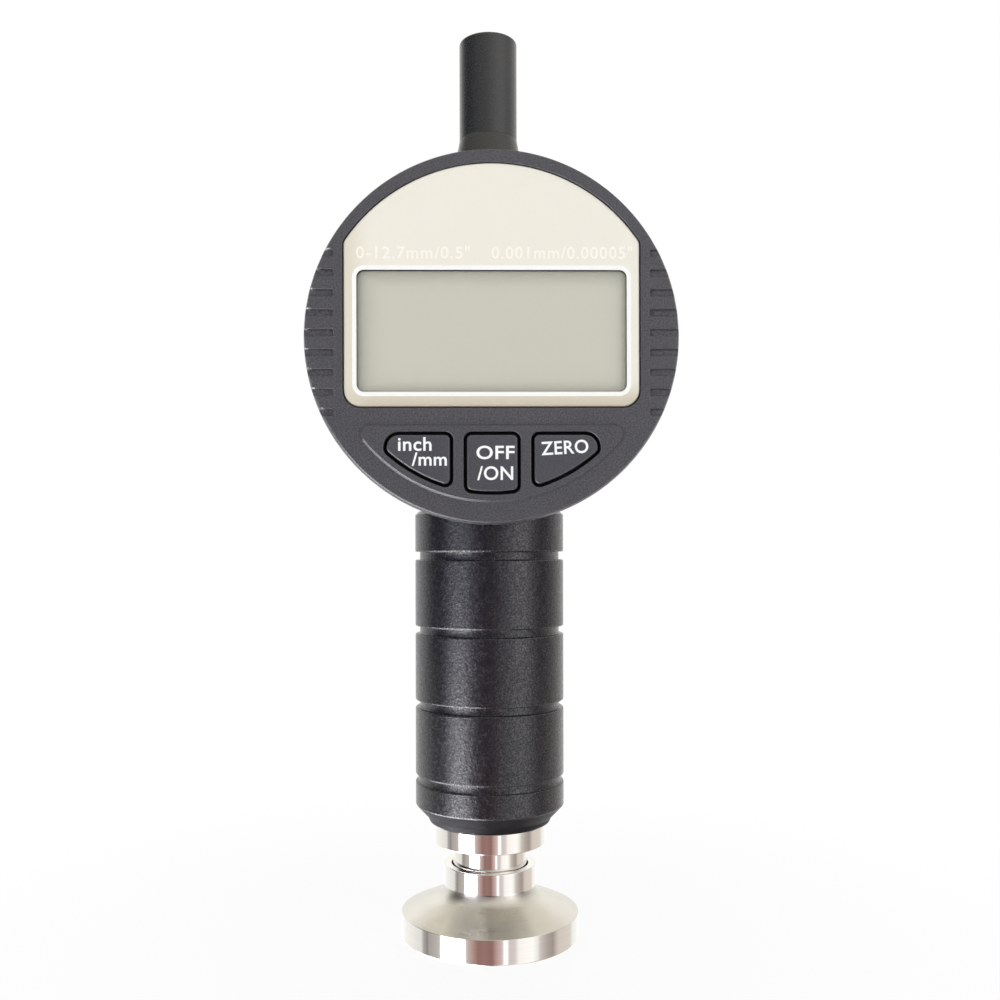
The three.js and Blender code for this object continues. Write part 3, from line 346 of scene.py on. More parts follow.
def piece_of_rings(name: str, rings: Array, closed: bool = False, sharp: float = SHARP) -> Piece:
    """Closed mesh through a stack of rings with equal numbers of points.

    Neighbouring rings are joined by quads on the index grid. An open stack is closed by a face
    on its first and last ring, and a stack whose profile is a loop joins its last ring to its
    first. Rings that shrink to a point are merged, and the faces are turned outwards.

    Args:
        name: Name of the piece.
        rings: Array of shape (rings, points, 3), in millimetres.
        closed: Whether the last ring joins the first.
        sharp: Angle in degrees past which an edge stays sharp.

    Returns:
        The new object, at the origin.
    """
    count, width, _ = rings.shape
    index = np.arange(count * width).reshape(count, width)
    upper = np.roll(index, -1, axis=0) if closed else index[1:]
    lower = index if closed else index[:-1]
    quads = np.stack((lower, np.roll(lower, -1, axis=1), np.roll(upper, -1, axis=1), upper), axis=-1)
    faces = quads.reshape(-1, 4).tolist()
    if not closed:
        faces += [index[0][::-1].tolist(), index[-1].tolist()]
    mesh = bpy.data.meshes.new(name)
    mesh.from_pydata((rings.reshape(-1, 3) * MM).tolist(), [], faces)
    piece = add(name, mesh)
    clean(piece)
    smooth(piece, sharp)
    return piece


def clean(piece: Piece) -> None:
    """Merges doubled points of a piece and turns its faces outwards.

    Args:
        piece: The piece.
    """
    work = bmesh.new()
    work.from_mesh(piece.data)
    bmesh.ops.remove_doubles(work, verts=work.verts, dist=MERGE)
    bmesh.ops.dissolve_degenerate(work, edges=work.edges, dist=NO_LENGTH)
    bmesh.ops.recalc_face_normals(work, faces=work.faces)
    work.to_mesh(piece.data)
    work.free()
    piece.data.update()


def smooth(piece: Piece, sharp: float = SHARP) -> None:
    """Shades a piece smooth, but for edges sharper than the given angle in degrees.

    Args:
        piece: The piece.
        sharp: Angle past which an edge stays sharp.
    """
    mesh = piece.data
    mesh.polygons.foreach_set("use_smooth", np.ones(len(mesh.polygons), dtype=bool))
    mesh.set_sharp_from_angle(angle=math.radians(sharp))
    weighted = piece.modifiers.new("even_faces", "WEIGHTED_NORMAL")
    weighted.keep_sharp = True


def swept(
    name: str,
    outline: Outline,
    profile: Array,
    plane: Plane = Plane.UPRIGHT,
    closed: bool = False,
) -> Piece:
    """Piece whose section is an outline grown by a profile: ring i is outline(across i) at height i.

    Args:
        name: Name of the piece.
        outline: Function of a growth, such as a circle or a rectangle.
        profile: Rows (growth, height).
        plane: How the section lies.
        closed: Whether the profile is a loop.

    Returns:
        The new object.
    """
    rings = np.stack([lay(outline(across), height, plane) for across, height in profile])
    return piece_of_rings(name, rings, closed)


def carve(piece: Piece, tools: Sequence[Piece], carving: Carving = Carving.CUT) -> None:
    """Cuts tools out of a piece, or joins them to it, and removes the tools.

    Args:
        piece: The piece that stays, with a new mesh and no material.
        tools: Closed pieces that are used up.
        carving: Cut or join.
    """
    piece.modifiers.clear()
    for tool in tools:
        tool.modifiers.clear()
        modifier = piece.modifiers.new("carve", "BOOLEAN")
        modifier.operation = carving.value
        modifier.solver = "MANIFOLD"
        modifier.object = tool
    graph = bpy.context.evaluated_depsgraph_get()
    graph.update()
    result = bpy.data.meshes.new_from_object(piece.evaluated_get(graph))
    piece.modifiers.clear()
    result.materials.clear()
    result.polygons.foreach_set("material_index", np.zeros(len(result.polygons), dtype=np.int32))
    before, piece.data = piece.data, result
    bpy.data.meshes.remove(before)
    for tool in tools:
        bpy.data.objects.remove(tool)
    clean(piece)
    smooth(piece)


def lettering(
    name: str,
    words: str,
    height: float,
    width: float,
    place: tuple[float, float, float],
    spacing: float,
    weight: float,
    tilt: float = 0.0,
) -> Piece:
    """Printed words as a thin closed mesh on a face that looks towards -Y.

    The flat letters are turned by the tilt, laid on the face, and last stretched about their
    middle to the given width: x' = middle + (x - middle) * width / own width.

    Args:
        name: Name of the piece.
        words: What is printed.
        height: Height of a capital letter.
        width: Width of the words.
        place: Middle of the words, with the depth of the face they lie on.
        spacing: Distance between letters as a share of the font's own.
        weight: How far the strokes are widened.
        tilt: Turn in degrees, anticlockwise as read.

    Returns:
        The new object.
    """
    curve = bpy.data.curves.new(name, "FONT")
    curve.body = words
    curve.align_x = "CENTER"
    curve.align_y = "CENTER"
    curve.space_character = spacing
    curve.resolution_u = 4
    curve.offset = weight / height
    curve.extrude = INK_FILM / 2.0 / height
    holder = add(name, curve)
    graph = bpy.context.evaluated_depsgraph_get()
    graph.update()
    mesh = bpy.data.meshes.new_from_object(holder.evaluated_get(graph))
    bpy.data.objects.remove(holder)
    points = vectors(mesh.vertices, "co")
    low, high = points.min(axis=0), points.max(axis=0)
    scale = height / CAPITAL
    flat = (points - (low + high) / 2.0) * (scale, scale, height)
    turn = math.radians(tilt)
    across = flat[:, 0] * math.cos(turn) - flat[:, 1] * math.sin(turn)
    upward = flat[:, 0] * math.sin(turn) + flat[:, 1] * math.cos(turn)
    x, y, z = place
    move_points(mesh, np.column_stack((x + across, y - INK_FILM / 2.0 - flat[:, 2], z + upward)) * MM)
    piece = add(name, mesh)
    clean(piece)
    points = vectors(mesh.vertices, "co")
    points[:, 0] = x * MM + (points[:, 0] - x * MM) * (width * MM / np.ptp(points[:, 0]))
    move_points(mesh, points)
    return piece


# Finishes


class Nodes:
    """Small builder of shader nodes in one tree."""

    def __init__(self, tree: bpy.types.NodeTree) -> None:
        """Takes a tree and empties it."""
        self.tree = tree
        tree.nodes.clear()

    def node(self, kind: str, **settings: object) -> bpy.types.Node:
        """New shader node of a kind such as Math.

        Args:
            kind: The node's kind.
            settings: Its own settings, such as its operation.

        Returns:
            The node.
        """
        node = self.tree.nodes.new(f"ShaderNode{kind}")
        for name, value in settings.items():
            setattr(node, name, value)
        return node

    def put(self, socket: Socket, value: object) -> None:
        """Links an output to a socket, or sets the socket's own value.

        Args:
            socket: The input.
            value: Output, number, or colour of three parts.
        """
        if isinstance(value, bpy.types.NodeSocket):
            self.tree.links.new(value, socket)
        elif isinstance(value, tuple) and len(value) == 3 and socket.type == "RGBA":
            socket.default_value = (*value, 1.0)
        else:
            socket.default_value = value

    def fill(self, node: bpy.types.Node, *values: object) -> Socket:
        """Puts values into a node's first sockets and gives its first output.

        Args:
            node: The node.
            values: Outputs or numbers.

        Returns:
            The node's first output.
        """
        for socket, value in zip(node.inputs, values):
            self.put(socket, value)
        return node.outputs[0]

    def calc(self, operation: str, first: object, second: object = 0.0) -> Socket:
        """Math node of one or two values."""
        return self.fill(self.node("Math", operation=operation), first, second)

    def times(self, first: object, second: object) -> Socket:
        """Product of two values."""
        return self.calc("MULTIPLY", first, second)

    def length(self, first: object, second: object) -> Socket:
        """Root of the sum of two squares."""
        return self.calc("SQRT", self.calc("ADD", self.times(first, first), self.times(second, second)))

    def split(self, vector: Socket) -> tuple[Socket, ...]:
        """X, Y and Z of a vector.

        Args:
            vector: The vector.

        Returns:
            Three outputs.
        """
        node = self.node("SeparateXYZ")
        self.fill(node, vector)
        return tuple(node.outputs)

    def vector(self, x: object, y: object, z: object) -> Socket:
        """Vector of three values."""
        return self.fill(self.node("CombineXYZ"), x, y, z)

    def span(self, value: object, low: float, high: float, to_low: float = 0.0,
             to_high: float = 1.0) -> Socket:
        """Value mapped smoothly from low..high to to_low..to_high."""
        node = self.node("MapRange", interpolation_type="SMOOTHSTEP")
        return self.fill(node, value, low, high, to_low, to_high)

    def rise(self, length: object, band: Pair) -> Socket:
        """Length mapped smoothly to 0..1 over a band in millimetres."""
        return self.span(length, band[0] * MM, band[1] * MM)

    def fall(self, length: object, band: Pair, top: float = 1.0) -> Socket:
        """Length mapped smoothly to top..0 over a band in millimetres."""
        return self.span(length, band[0] * MM, band[1] * MM, top, 0.0)

    def even(self, noise: Socket, to_low: float = 0.0, to_high: float = 1.0) -> Socket:
        """Noise spread over to_low..to_high."""
        return self.span(noise, *NOISE_BAND, to_low, to_high)

    def sway(self, noise: Socket, middle: float, half: float) -> Socket:
        """Noise spread about a middle value, half to either side."""
        return self.even(noise, middle - half, middle + half)

    def blend(self, share: object, first: object, second: object) -> Socket:
        """Mix of two colours; the node's colour sockets are numbers 6 and 7, and its result is 2.

        Args:
            share: Share of the second colour.
            first: First colour.
            second: Second colour.

        Returns:
            The mixed colour.
        """
        node = self.node("Mix", data_type="RGBA", clamp_result=False)
        for place, value in ((0, share), (6, first), (7, second)):
            self.put(node.inputs[place], value)
        return node.outputs[2]


class Recipe(Nodes):
    """A material's nodes round one Principled shader, in object coordinates."""

    def __init__(self, name: str) -> None:
        """Starts an empty material with its shader.

        Args:
            name: Name of the material.
        """
        self.material = bpy.data.materials.new(name)
        self.material.use_nodes = True
        super().__init__(self.material.node_tree)
        self.output = self.node("OutputMaterial")
        self.shader = self.node("BsdfPrincipled")
        self.show(self.shader)
        self.place = self.node("TexCoord").outputs["Object"]

    def show(self, shader: bpy.types.Node) -> None:
        """Makes a shader the material's surface."""
        self.put(self.output.inputs["Surface"], shader.outputs[0])

    def set(self, **values: object) -> None:
        """Sets the shader's sockets, with names such as base_color for Base Color.

        Args:
            values: Outputs, numbers or colours by the socket's name.
        """
        for key, value in values.items():
            title = key.replace("_", " ").title().replace("Ior", "IOR")
            self.put(self.shader.inputs[title], value)

    def level(self, z: Socket, middle: float = 0.0) -> Socket:
        """Height above a point that lies middle above the display's centre."""
        return self.calc("SUBTRACT", z, (HEAD_HEIGHT + middle) * MM)

    def noise(self, feature: float, detail: float = 2.0, vector: object = None) -> Socket:
        """Noise whose patches are about feature millimetres across.

        Args:
            feature: Size of a patch.
            detail: How many finer noises are added.
            vector: Coordinates, or None for the object's own.

        Returns:
            The noise.
        """
        node = self.node("TexNoise")
        self.put(node.inputs["Vector"], self.place if vector is None else vector)
        self.put(node.inputs["Scale"], 1.0 / (feature * MM))
        self.put(node.inputs["Detail"], detail)
        return node.outputs["Fac"]

    def bump(self, height: object, depth: float) -> None:
        """Bump on the shader's normal, with the relief's depth in millimetres.

        Args:
            height: Output that is the relief.
            depth: Depth of the relief.
        """
        node = self.node("Bump")
        self.put(node.inputs["Height"], height)
        self.put(node.inputs["Distance"], depth * MM)
        self.put(node.inputs["Strength"], 1.0)
        self.set(normal=node.outputs[0])


def shade(colour: Rgb, factor: float) -> Rgb:
    """Colour made lighter or darker by a factor."""
    return tuple(min(1.0, channel * factor) for channel in colour)


def shades(colour: Rgb, share: float) -> tuple[Rgb, Rgb]:
    """Colour made darker and lighter by a share."""
    return shade(colour, 1.0 - share), shade(colour, 1.0 + share)


@dataclass(frozen=True)
class Finish:
    """Base of all finishes: a name, a slot of the part, a colour in linear light and a roughness."""

    name: str
    slot: str
    colour: Rgb
    roughness: float

    def build(self, recipe: Recipe) -> None:
        """Fills in the nodes; each finish has its own."""
        raise NotImplementedError

    def material(self) -> bpy.types.Material:
        """The finish's material, made once.

        Returns:
            The material.
        """
        known = bpy.data.materials.get(self.name)
        if known is None:
            recipe = Recipe(self.name)
            self.build(recipe)
            known = recipe.material
        return known


@dataclass(frozen=True)
class Moulded(Finish):
    """Moulded plastic with the fine grain of a spark-eroded tool."""

    grain: float = 0.22
    relief: float = 0.006
    tone_share: float = 0.10
    patch: float = 9.0
    patch_sheen: float = 0.04
    gloss: float = 0.45

    def build(self, recipe: Recipe) -> None:
        """Grain varies colour and relief, and wide patches vary the sheen.

        Args:
            recipe: The material's nodes.
        """
        grain = recipe.noise(self.grain, 3.0)
        recipe.set(
            base_color=recipe.blend(recipe.even(grain), *shades(self.colour, self.tone_share)),
            roughness=recipe.sway(recipe.noise(self.patch), self.roughness, self.patch_sheen),
            specular_ior_level=self.gloss,
        )
        recipe.bump(grain, self.relief)


@dataclass(frozen=True)
class GripPlastic(Moulded):
    """Bezel plastic with a painted highlight: pale specks at the outer upper corners of the grip notches,
    where light catches their edges.

    Every band holds the two values between which the specks come or go.
    """

    notch_pitch: float = 3.185
    notch_half: float = 0.62
    notch_rise: float = 0.5
    rim_band: Pair = (29.081, 29.831)
    edge_band: Pair = (0.02, 0.075)  # shares of the pitch away from a notch's upper edge
    left_band: Pair = (-23.0, -21.0)
    height_band: Pair = (13.4, 13.7)
    depth_band: Pair = (-17.2, -16.6)
    speck: float = 0.35
    speck_band: Pair = (0.44, 0.56)  # values of the noise
    # tone of the painted highlight on the notches' upper edges
    painted_highlight: Rgb = (0.72, 0.72, 0.70)

    def build(self, recipe: Recipe) -> None:
        """Adds the painted highlight as specks: near the rim, on the left, just above each notch's upper
        edge.

        Args:
            recipe: The material's nodes.
        """
        super().build(recipe)
        plain = recipe.shader.inputs["Base Color"].links[0].from_socket
        x, y, z = recipe.split(recipe.place)
        level = recipe.level(z)
        raised = recipe.calc("SUBTRACT", level, self.notch_rise * MM)
        turn = recipe.calc("DIVIDE", raised, self.notch_pitch * MM)
        phase = recipe.calc("SUBTRACT", turn, recipe.calc("ROUND", turn))
        off_edge = recipe.calc("SUBTRACT", phase, self.notch_half / self.notch_pitch)
        speck = recipe.rise(recipe.length(x, level), self.rim_band)
        for share in (
            recipe.span(recipe.calc("ABSOLUTE", off_edge), *self.edge_band, 1.0, 0.0),
            recipe.fall(x, self.left_band),
            recipe.fall(recipe.calc("ABSOLUTE", raised), self.height_band),
            recipe.fall(y, self.depth_band),
            recipe.span(recipe.noise(self.speck, 3.0), *self.speck_band),
        ):
            speck = recipe.times(speck, share)
        # painted highlight: the specks lighten the bezel where light catches the left notches' upper edges
        recipe.set(base_color=recipe.blend(speck, plain, self.painted_highlight))


@dataclass(frozen=True)
class Anodised(Finish):
    """Anodised layer over a blasted surface: dark, with fine bright grains."""

    grain: float = 0.16
    coarse: float = 2.6  # the second grain's size, as a multiple of the first's
    relief: float = 0.012
    tones: Pair = (0.8, 1.5)
    tone_band: Pair = (0.35, 0.7)
    sheen: float = 0.05
    ior: float = 1.62
    sparkle: float = 0.0
    glint: float = 0.21
    glint_band: Pair = (0.38, 0.72)
    glint_reach: Pair = (-0.6, 1.4)  # how far the gloss goes down and up at full sparkle

    def build(self, recipe: Recipe) -> None:
        """Two sizes of grain vary colour, sheen and relief, and a sparkle varies the gloss in glints.

        Args:
            recipe: The material's nodes.
        """
        fine = recipe.noise(self.grain)
        coarse = recipe.noise(self.grain * self.coarse, 1.0)
        dark, light = (shade(self.colour, tone) for tone in self.tones)
        recipe.set(
            base_color=recipe.blend(recipe.span(fine, *self.tone_band), dark, light),
            roughness=recipe.sway(coarse, self.roughness, self.sheen),
            ior=self.ior,
        )
        if self.sparkle > 0.0:
            down, up = (PLAIN_GLOSS + reach * self.sparkle for reach in self.glint_reach)
            glints = recipe.span(recipe.noise(self.glint, 1.0), *self.glint_band, down, up)
            recipe.set(specular_ior_level=glints)
        recipe.bump(recipe.calc("ADD", fine, recipe.times(coarse, 0.5)), self.relief)


class Turning(Enum):
    """Axis about which a metal piece was turned."""

    STEM = "stem"
    BACK = "back"


@dataclass(frozen=True)
class Turned(Finish):
    """Turned steel: fine rings about its axis in relief and sheen."""

    axis: Turning = Turning.STEM
    pitch: float = 0.09
    relief: float = 0.0008
    streak_share: float = 0.08
    patch: float = 2.5
    sheen_band: Pair = (0.5, 1.0)
    sheen: Pair = (0.8, 1.25)  # least and most roughness as a share of the finish's own
    spread: float = 0.0

    def build(self, recipe: Recipe) -> None:
        """Noise that depends only on the radius and the height along the axis draws the rings.

        With a spread, highlights also fan out along the radius, as on a face turned in fine rings.

        Args:
            recipe: The material's nodes.
        """
        x, y, z = recipe.split(recipe.place)
        if self.axis is Turning.STEM:
            radius, along = recipe.length(x, y), z
        else:
            radius, along = recipe.length(x, recipe.level(z)), y
        rings = recipe.noise(self.pitch, 3.0, recipe.vector(radius, 0.0, along))
        uneven = recipe.calc("ADD", rings, recipe.times(recipe.noise(self.patch), 0.5))
        dull, bright = (self.roughness * share for share in self.sheen)
        recipe.set(
            base_color=recipe.blend(recipe.even(rings), *shades(self.colour, self.streak_share)),
            roughness=recipe.span(uneven, *self.sheen_band, dull, bright),
            metallic=1.0,
        )
        if self.spread > 0.0:
            recipe.set(anisotropic=self.spread, tangent=recipe.vector(x, y, 0.0))
        recipe.bump(rings, self.relief)


@dataclass(frozen=True)
class PanelFilm(Finish):
    """Champagne face panel: pale satin film, with painted shade that darkens it a little towards its foot and
    left.
    """

    foot_band: Pair = (-11.5, -6.5)
    foot_painted_shade: Rgb = (0.55, 0.49, 0.385)
    left_band: Pair = (-23.5, -19.0)
    left_painted_shade: Rgb = (0.66, 0.61, 0.50)
    left_share: float = 0.8
    grain: float = 0.18
    grain_tone: Rgb = (0.95, 0.94, 0.9)
    grain_share: float = 0.06
    grain_sheen: float = 0.03
    relief: float = 0.001
    coat: float = 0.15
    coat_sheen: float = 0.2

    def build(self, recipe: Recipe) -> None:
        """Height and side blend three tones, the two darker ones painted shade, and a faint grain runs
        through them.

        Args:
            recipe: The material's nodes.
        """
        x, _, z = recipe.split(recipe.place)
        grain = recipe.even(recipe.noise(self.grain))
        # painted shade: darker towards the panel's foot and its left edge
        tone = recipe.blend(recipe.fall(recipe.level(z), self.foot_band), self.colour, self.foot_painted_shade)
        left = recipe.times(recipe.fall(x, self.left_band), self.left_share)
        tone = recipe.blend(left, tone, self.left_painted_shade)
        smoothest, dullest = self.roughness - self.grain_sheen, self.roughness + self.grain_sheen
        recipe.set(
            base_color=recipe.blend(recipe.times(grain, self.grain_share), tone, self.grain_tone),
            roughness=recipe.span(grain, 0.0, 1.0, smoothest, dullest),
            metallic=0.0,
            coat_weight=self.coat,
            coat_roughness=self.coat_sheen,
        )
        recipe.bump(grain, self.relief)


@dataclass(frozen=True)
class LiquidCrystal(Finish):
    """Reflective display glass, switched off: grey-green, with painted shade towards its edges, where the
    recessed opening shades it.

    Each reach is (how far the painted shade goes in from an edge, its share at the edge).
    """

    half_width: float = 21.65
    half_height: float = 9.75
    middle: float = 0.85
    left_reach: Pair = (4.4, 0.75)
    right_reach: Pair = (1.0, 0.8)
    top_reach: Pair = (3.0, 1.0)
    foot_reach: Pair = (2.4, 0.8)
    painted_shade_tone: Rgb = (0.40, 0.385, 0.30)
    grain: float = 0.25
    grain_tone: Rgb = (0.66, 0.64, 0.54)
    grain_share: float = 0.07
    relief: float = 0.0006
    gloss: float = 0.3

    def build(self, recipe: Recipe) -> None:
        """Painted shade darkens the tone near each edge, most of all under the upper one.

        Args:
            recipe: The material's nodes.
        """
        x, _, z = recipe.split(recipe.place)
        level = recipe.level(z, self.middle)
        width, height = self.half_width * MM, self.half_height * MM
        shares = [
            recipe.fall(recipe.calc(way, half, place), (0.0, reach[0]), reach[1])
            for way, half, place, reach in (
                ("ADD", width, x, self.left_reach),
                ("SUBTRACT", width, x, self.right_reach),
                ("SUBTRACT", height, level, self.top_reach),
                ("ADD", height, level, self.foot_reach),
            )
        ]
        edge = shares[0]
        for share in shares[1:]:
            edge = recipe.calc("MAXIMUM", edge, share)
        grain = recipe.even(recipe.noise(self.grain))
        # painted shade: the tone darkens near each edge of the recessed opening, most under the upper one
        tone = recipe.blend(edge, self.colour, self.painted_shade_tone)
        recipe.set(
            base_color=recipe.blend(recipe.times(grain, self.grain_share), tone, self.grain_tone),
            roughness=self.roughness,
            specular_ior_level=self.gloss,
        )
        recipe.bump(grain, self.relief)


@dataclass(frozen=True)
class ClearPane(Finish):
    """Clear moulded window: nearly all see-through, with a soft sheen."""

    haze: float = 4.0
    haze_sheen: float = 0.02
    cover: float = 0.12

    def build(self, recipe: Recipe) -> None:
        """A faint haze in the roughness; the opacity is one plain value.

        Args:
            recipe: The material's nodes.
        """
        recipe.set(
            base_color=self.colour,
            roughness=recipe.sway(recipe.noise(self.haze), self.roughness, self.haze_sheen),
            alpha=self.cover,
        )


@dataclass(frozen=True)
class Ink(Finish):
    """Screen-printed ink, matt and slightly uneven."""

    grain: float = 0.12
    thin_tone: float = 0.93
    gloss: float = 0.3

    def build(self, recipe: Recipe) -> None:
        """A fine noise varies its cover.

        Args:
            recipe: The material's nodes.
        """
        cover = recipe.even(recipe.noise(self.grain))
        recipe.set(
            base_color=recipe.blend(cover, shade(self.colour, self.thin_tone), self.colour),
            roughness=self.roughness,
            specular_ior_level=self.gloss,
        )


@dataclass(frozen=True)
class Lacquered(Finish):
    """Circuit board: lacquer over copper tracks that run straight across it."""

    track: float = 0.8
    stretch: float = 0.15
    track_band: Pair = (0.52, 0.56)
    track_tone: float = 1.8
    relief: float = 0.02
    coat: float = 0.4
    coat_sheen: float = 0.15

    def build(self, recipe: Recipe) -> None:
        """Stretched noise stands for the tracks under the lacquer.

        Args:
            recipe: The material's nodes.
        """
        x, y, z = recipe.split(recipe.place)
        tracks = recipe.noise(self.track, 1.0, recipe.vector(recipe.times(x, self.stretch), y, z))
        line = recipe.span(tracks, *self.track_band)
        recipe.set(
            base_color=recipe.blend(line, self.colour, shade(self.colour, self.track_tone)),
            roughness=self.roughness,
            coat_weight=self.coat,
            coat_roughness=self.coat_sheen,
        )
        recipe.bump(line, self.relief)


BEZEL_GREY = GripPlastic("bezel_grey_plastic", "bezel_grey", (0.070, 0.0685, 0.077), 0.33,
                         grain=0.24, relief=0.012, tone_share=0.36)
KEY_GREY = Moulded("key_grey_plastic", "key_grey", (0.065, 0.0655, 0.077), 0.31,
                   grain=0.20, relief=0.007, tone_share=0.32)
CASE_BLACK = Moulded("case_black_paint", "case_black", (0.024, 0.024, 0.026), 0.42, grain=0.3, relief=0.004)
CAP_BLACK = Anodised("cap_black_anodised", "cap_black", (0.018, 0.019, 0.020), 0.28,
                     grain=0.12, relief=0.0015)
HANDLE_BLACK = Anodised("handle_black_anodised", "anodised_black", (0.0070, 0.0066, 0.0110), 0.25,
                        grain=0.27, relief=0.042, sparkle=0.33)
HANDLE_FOOT = Anodised("handle_foot_anodised", "anodised_black", (0.0070, 0.0066, 0.0090), 0.45, ior=1.22)
RUBBER_BLACK = Moulded("black_rubber", "rubber_black", (0.020, 0.020, 0.020), 0.78, grain=0.4, relief=0.008)
POLISHED = Turned("polished_stainless", "stainless", (0.82, 0.80, 0.775), 0.07, streak_share=0.03)
SATIN = Turned("satin_stainless", "stainless", (0.72, 0.70, 0.65), 0.33,
               relief=0.0003, streak_share=0.04, spread=0.9)
GROUND = Turned("ground_steel", "steel", (0.56, 0.56, 0.57), 0.24)
GROUND_BACK = Turned("ground_steel_screws", "steel", (0.56, 0.56, 0.57), 0.26, axis=Turning.BACK)
BRONZE = Turned("bearing_bronze", "bronze", (0.52, 0.33, 0.14), 0.3)
CELL = Turned("nickelled_cell", "cell_steel", (0.68, 0.68, 0.66), 0.2, axis=Turning.BACK)
PANEL = PanelFilm("champagne_panel", "panel_champagne", (0.775, 0.745, 0.66), 0.40)
LCD = LiquidCrystal("display_grey_green", "lcd_glass", (0.555, 0.545, 0.445), 0.35)
PANE = ClearPane("clear_window", "window_clear", (0.75, 0.76, 0.74), 0.10)
WHITE_INK = Ink("white_print", "panel_champagne", (0.90, 0.90, 0.885), 0.5)
PALE_INK = Ink("pale_print", "panel_champagne", (0.92, 0.88, 0.80), 0.5)
KEY_INK = Ink("white_key_print", "key_grey", (0.88, 0.89, 0.90), 0.5)
# painted shade: near-black for faces deep in gaps, wells and the view's opening, where shade falls
PAINTED_GAP_SHADE = Moulded("painted_gap_shade", "case_black", (0.006, 0.006, 0.007), 0.7, grain=0.3, relief=0.002)
BOARD = Lacquered("green_board", "circuit_board", (0.020, 0.085, 0.035), 0.45)


def paint_faces(piece: Piece, base: Finish, second: Finish, chosen: Callable[[Array, Array], Array]) -> None:
    """Gives a piece two finishes.

    Args:
        piece: The piece.
        base: Finish of the faces that aren't chosen.
        second: Finish of the chosen faces.
        chosen: Function of the faces' middles in millimetres and their normals that gives a mask.
    """
    mesh = piece.data
    mask = chosen(vectors(mesh.polygons, "center") / MM, vectors(mesh.polygons, "normal"))
    mesh.materials.clear()
    mesh.materials.append(base.material())
    mesh.materials.append(second.material())
    mesh.polygons.foreach_set("material_index", mask.astype(np.int32))
    mesh.update()


def seat(piece: Piece, finish: Finish, body: str, *nodes: str) -> None:
    """Hands a finished piece to the frame: its material and body, and hides the nodes it stands for.

    Args:
        piece: The finished piece, in place.
        finish: Its finish.
        body: The body that it rides on.
        nodes: The nodes that it replaces.
    """
    if not piece.data.materials:
        piece.data.materials.append(finish.material())
    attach(piece, body)
    if nodes:
        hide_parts(*nodes)
    LOG.info("%s on %s: %d faces", piece.name, body, len(piece.data.polygons))


# Foot and handle


@dataclass
class Foot:
    """Flat steel ring with a satin flare and a polished hub, and the collar screwed into it."""

    radius: float = 15.5
    rim_height: float = 4.3
    rim_edge: float = 0.1
    flare_angle: float = 24.0
    polish_low: float = 8.78
    hub_radius: float = 8.05
    hub_height: float = 12.6
    hub_fillet: float = 2.5
    hub_edge: float = 0.15
    hub_bore: float = 6.7
    bore_edge: float = 0.2
    floor: float = 5.0
    needle_hole: float = 2.2
    edge: float = 0.3
    ring_steps: int = 8
    collar_radius: float = 9.8
    collar_low: float = 16.3
    collar_top: float = 19.9
    collar_edge: float = 0.25
    neck_root: float = 0.1
    spigot_radius: float = 6.5
    spigot_low: float = 5.15
    tenon_radius: float = 7.6
    tenon_top: float = 29.9
    end_edge: float = 0.3
    rod_bore: float = 3.1
    sides: int = 192

    def flare_top(self) -> float:
        """Height at which the flare's straight line meets the hub's cylinder."""
        return self.rim_height + (self.radius - self.hub_radius) * math.tan(math.radians(self.flare_angle))

    def ring(self) -> None:
        """The foot: rim, flare, fillet and hub, turned about the stem's axis."""
        profile = rounded([
            (self.needle_hole, self.edge), (self.needle_hole + self.edge, 0.0),
            (self.radius, 0.0, self.edge), (self.radius, self.rim_height, self.rim_edge),
            (self.hub_radius, self.flare_top(), self.hub_fillet),
            (self.hub_radius, self.hub_height, self.hub_edge),
            (self.hub_bore, self.hub_height, self.bore_edge), (self.hub_bore, self.floor),
            (self.needle_hole, self.floor),
        ], self.ring_steps)
        piece = swept("foot_ring", circle(self.sides), profile, Plane.LEVEL, closed=True)
        paint_faces(piece, POLISHED, SATIN, self.on_flare)
        seat(piece, POLISHED, "root", "foot_base")

    def on_flare(self, middles: Array, _normals: Array) -> Array:
        """Mask of the faces of the flare and of its fillet's lower part."""
        radius, height = np.hypot(middles[:, 0], middles[:, 1]), middles[:, 2]
        return (height > self.rim_height) & (height < self.polish_low) & (radius > self.hub_radius)

    def collar(self) -> None:
        """The adapter: spigot in the hub, collar, and the tenon inside the handle."""
        profile = rounded([
            (self.rod_bore, self.spigot_low), (self.spigot_radius, self.spigot_low, self.end_edge),
            (self.spigot_radius, self.collar_low, self.neck_root),
            (self.collar_radius, self.collar_low, self.collar_edge),
            (self.collar_radius, self.collar_top, self.collar_edge),
            (self.tenon_radius, self.collar_top),
            (self.tenon_radius, self.tenon_top, self.end_edge), (self.rod_bore, self.tenon_top),
        ])
        piece = swept("foot_collar", circle(self.sides), profile, Plane.LEVEL, closed=True)
        seat(piece, POLISHED, "root", "foot_adapter")

    def build(self) -> None:
        """Makes the foot's pieces."""
        self.ring()
        self.collar()


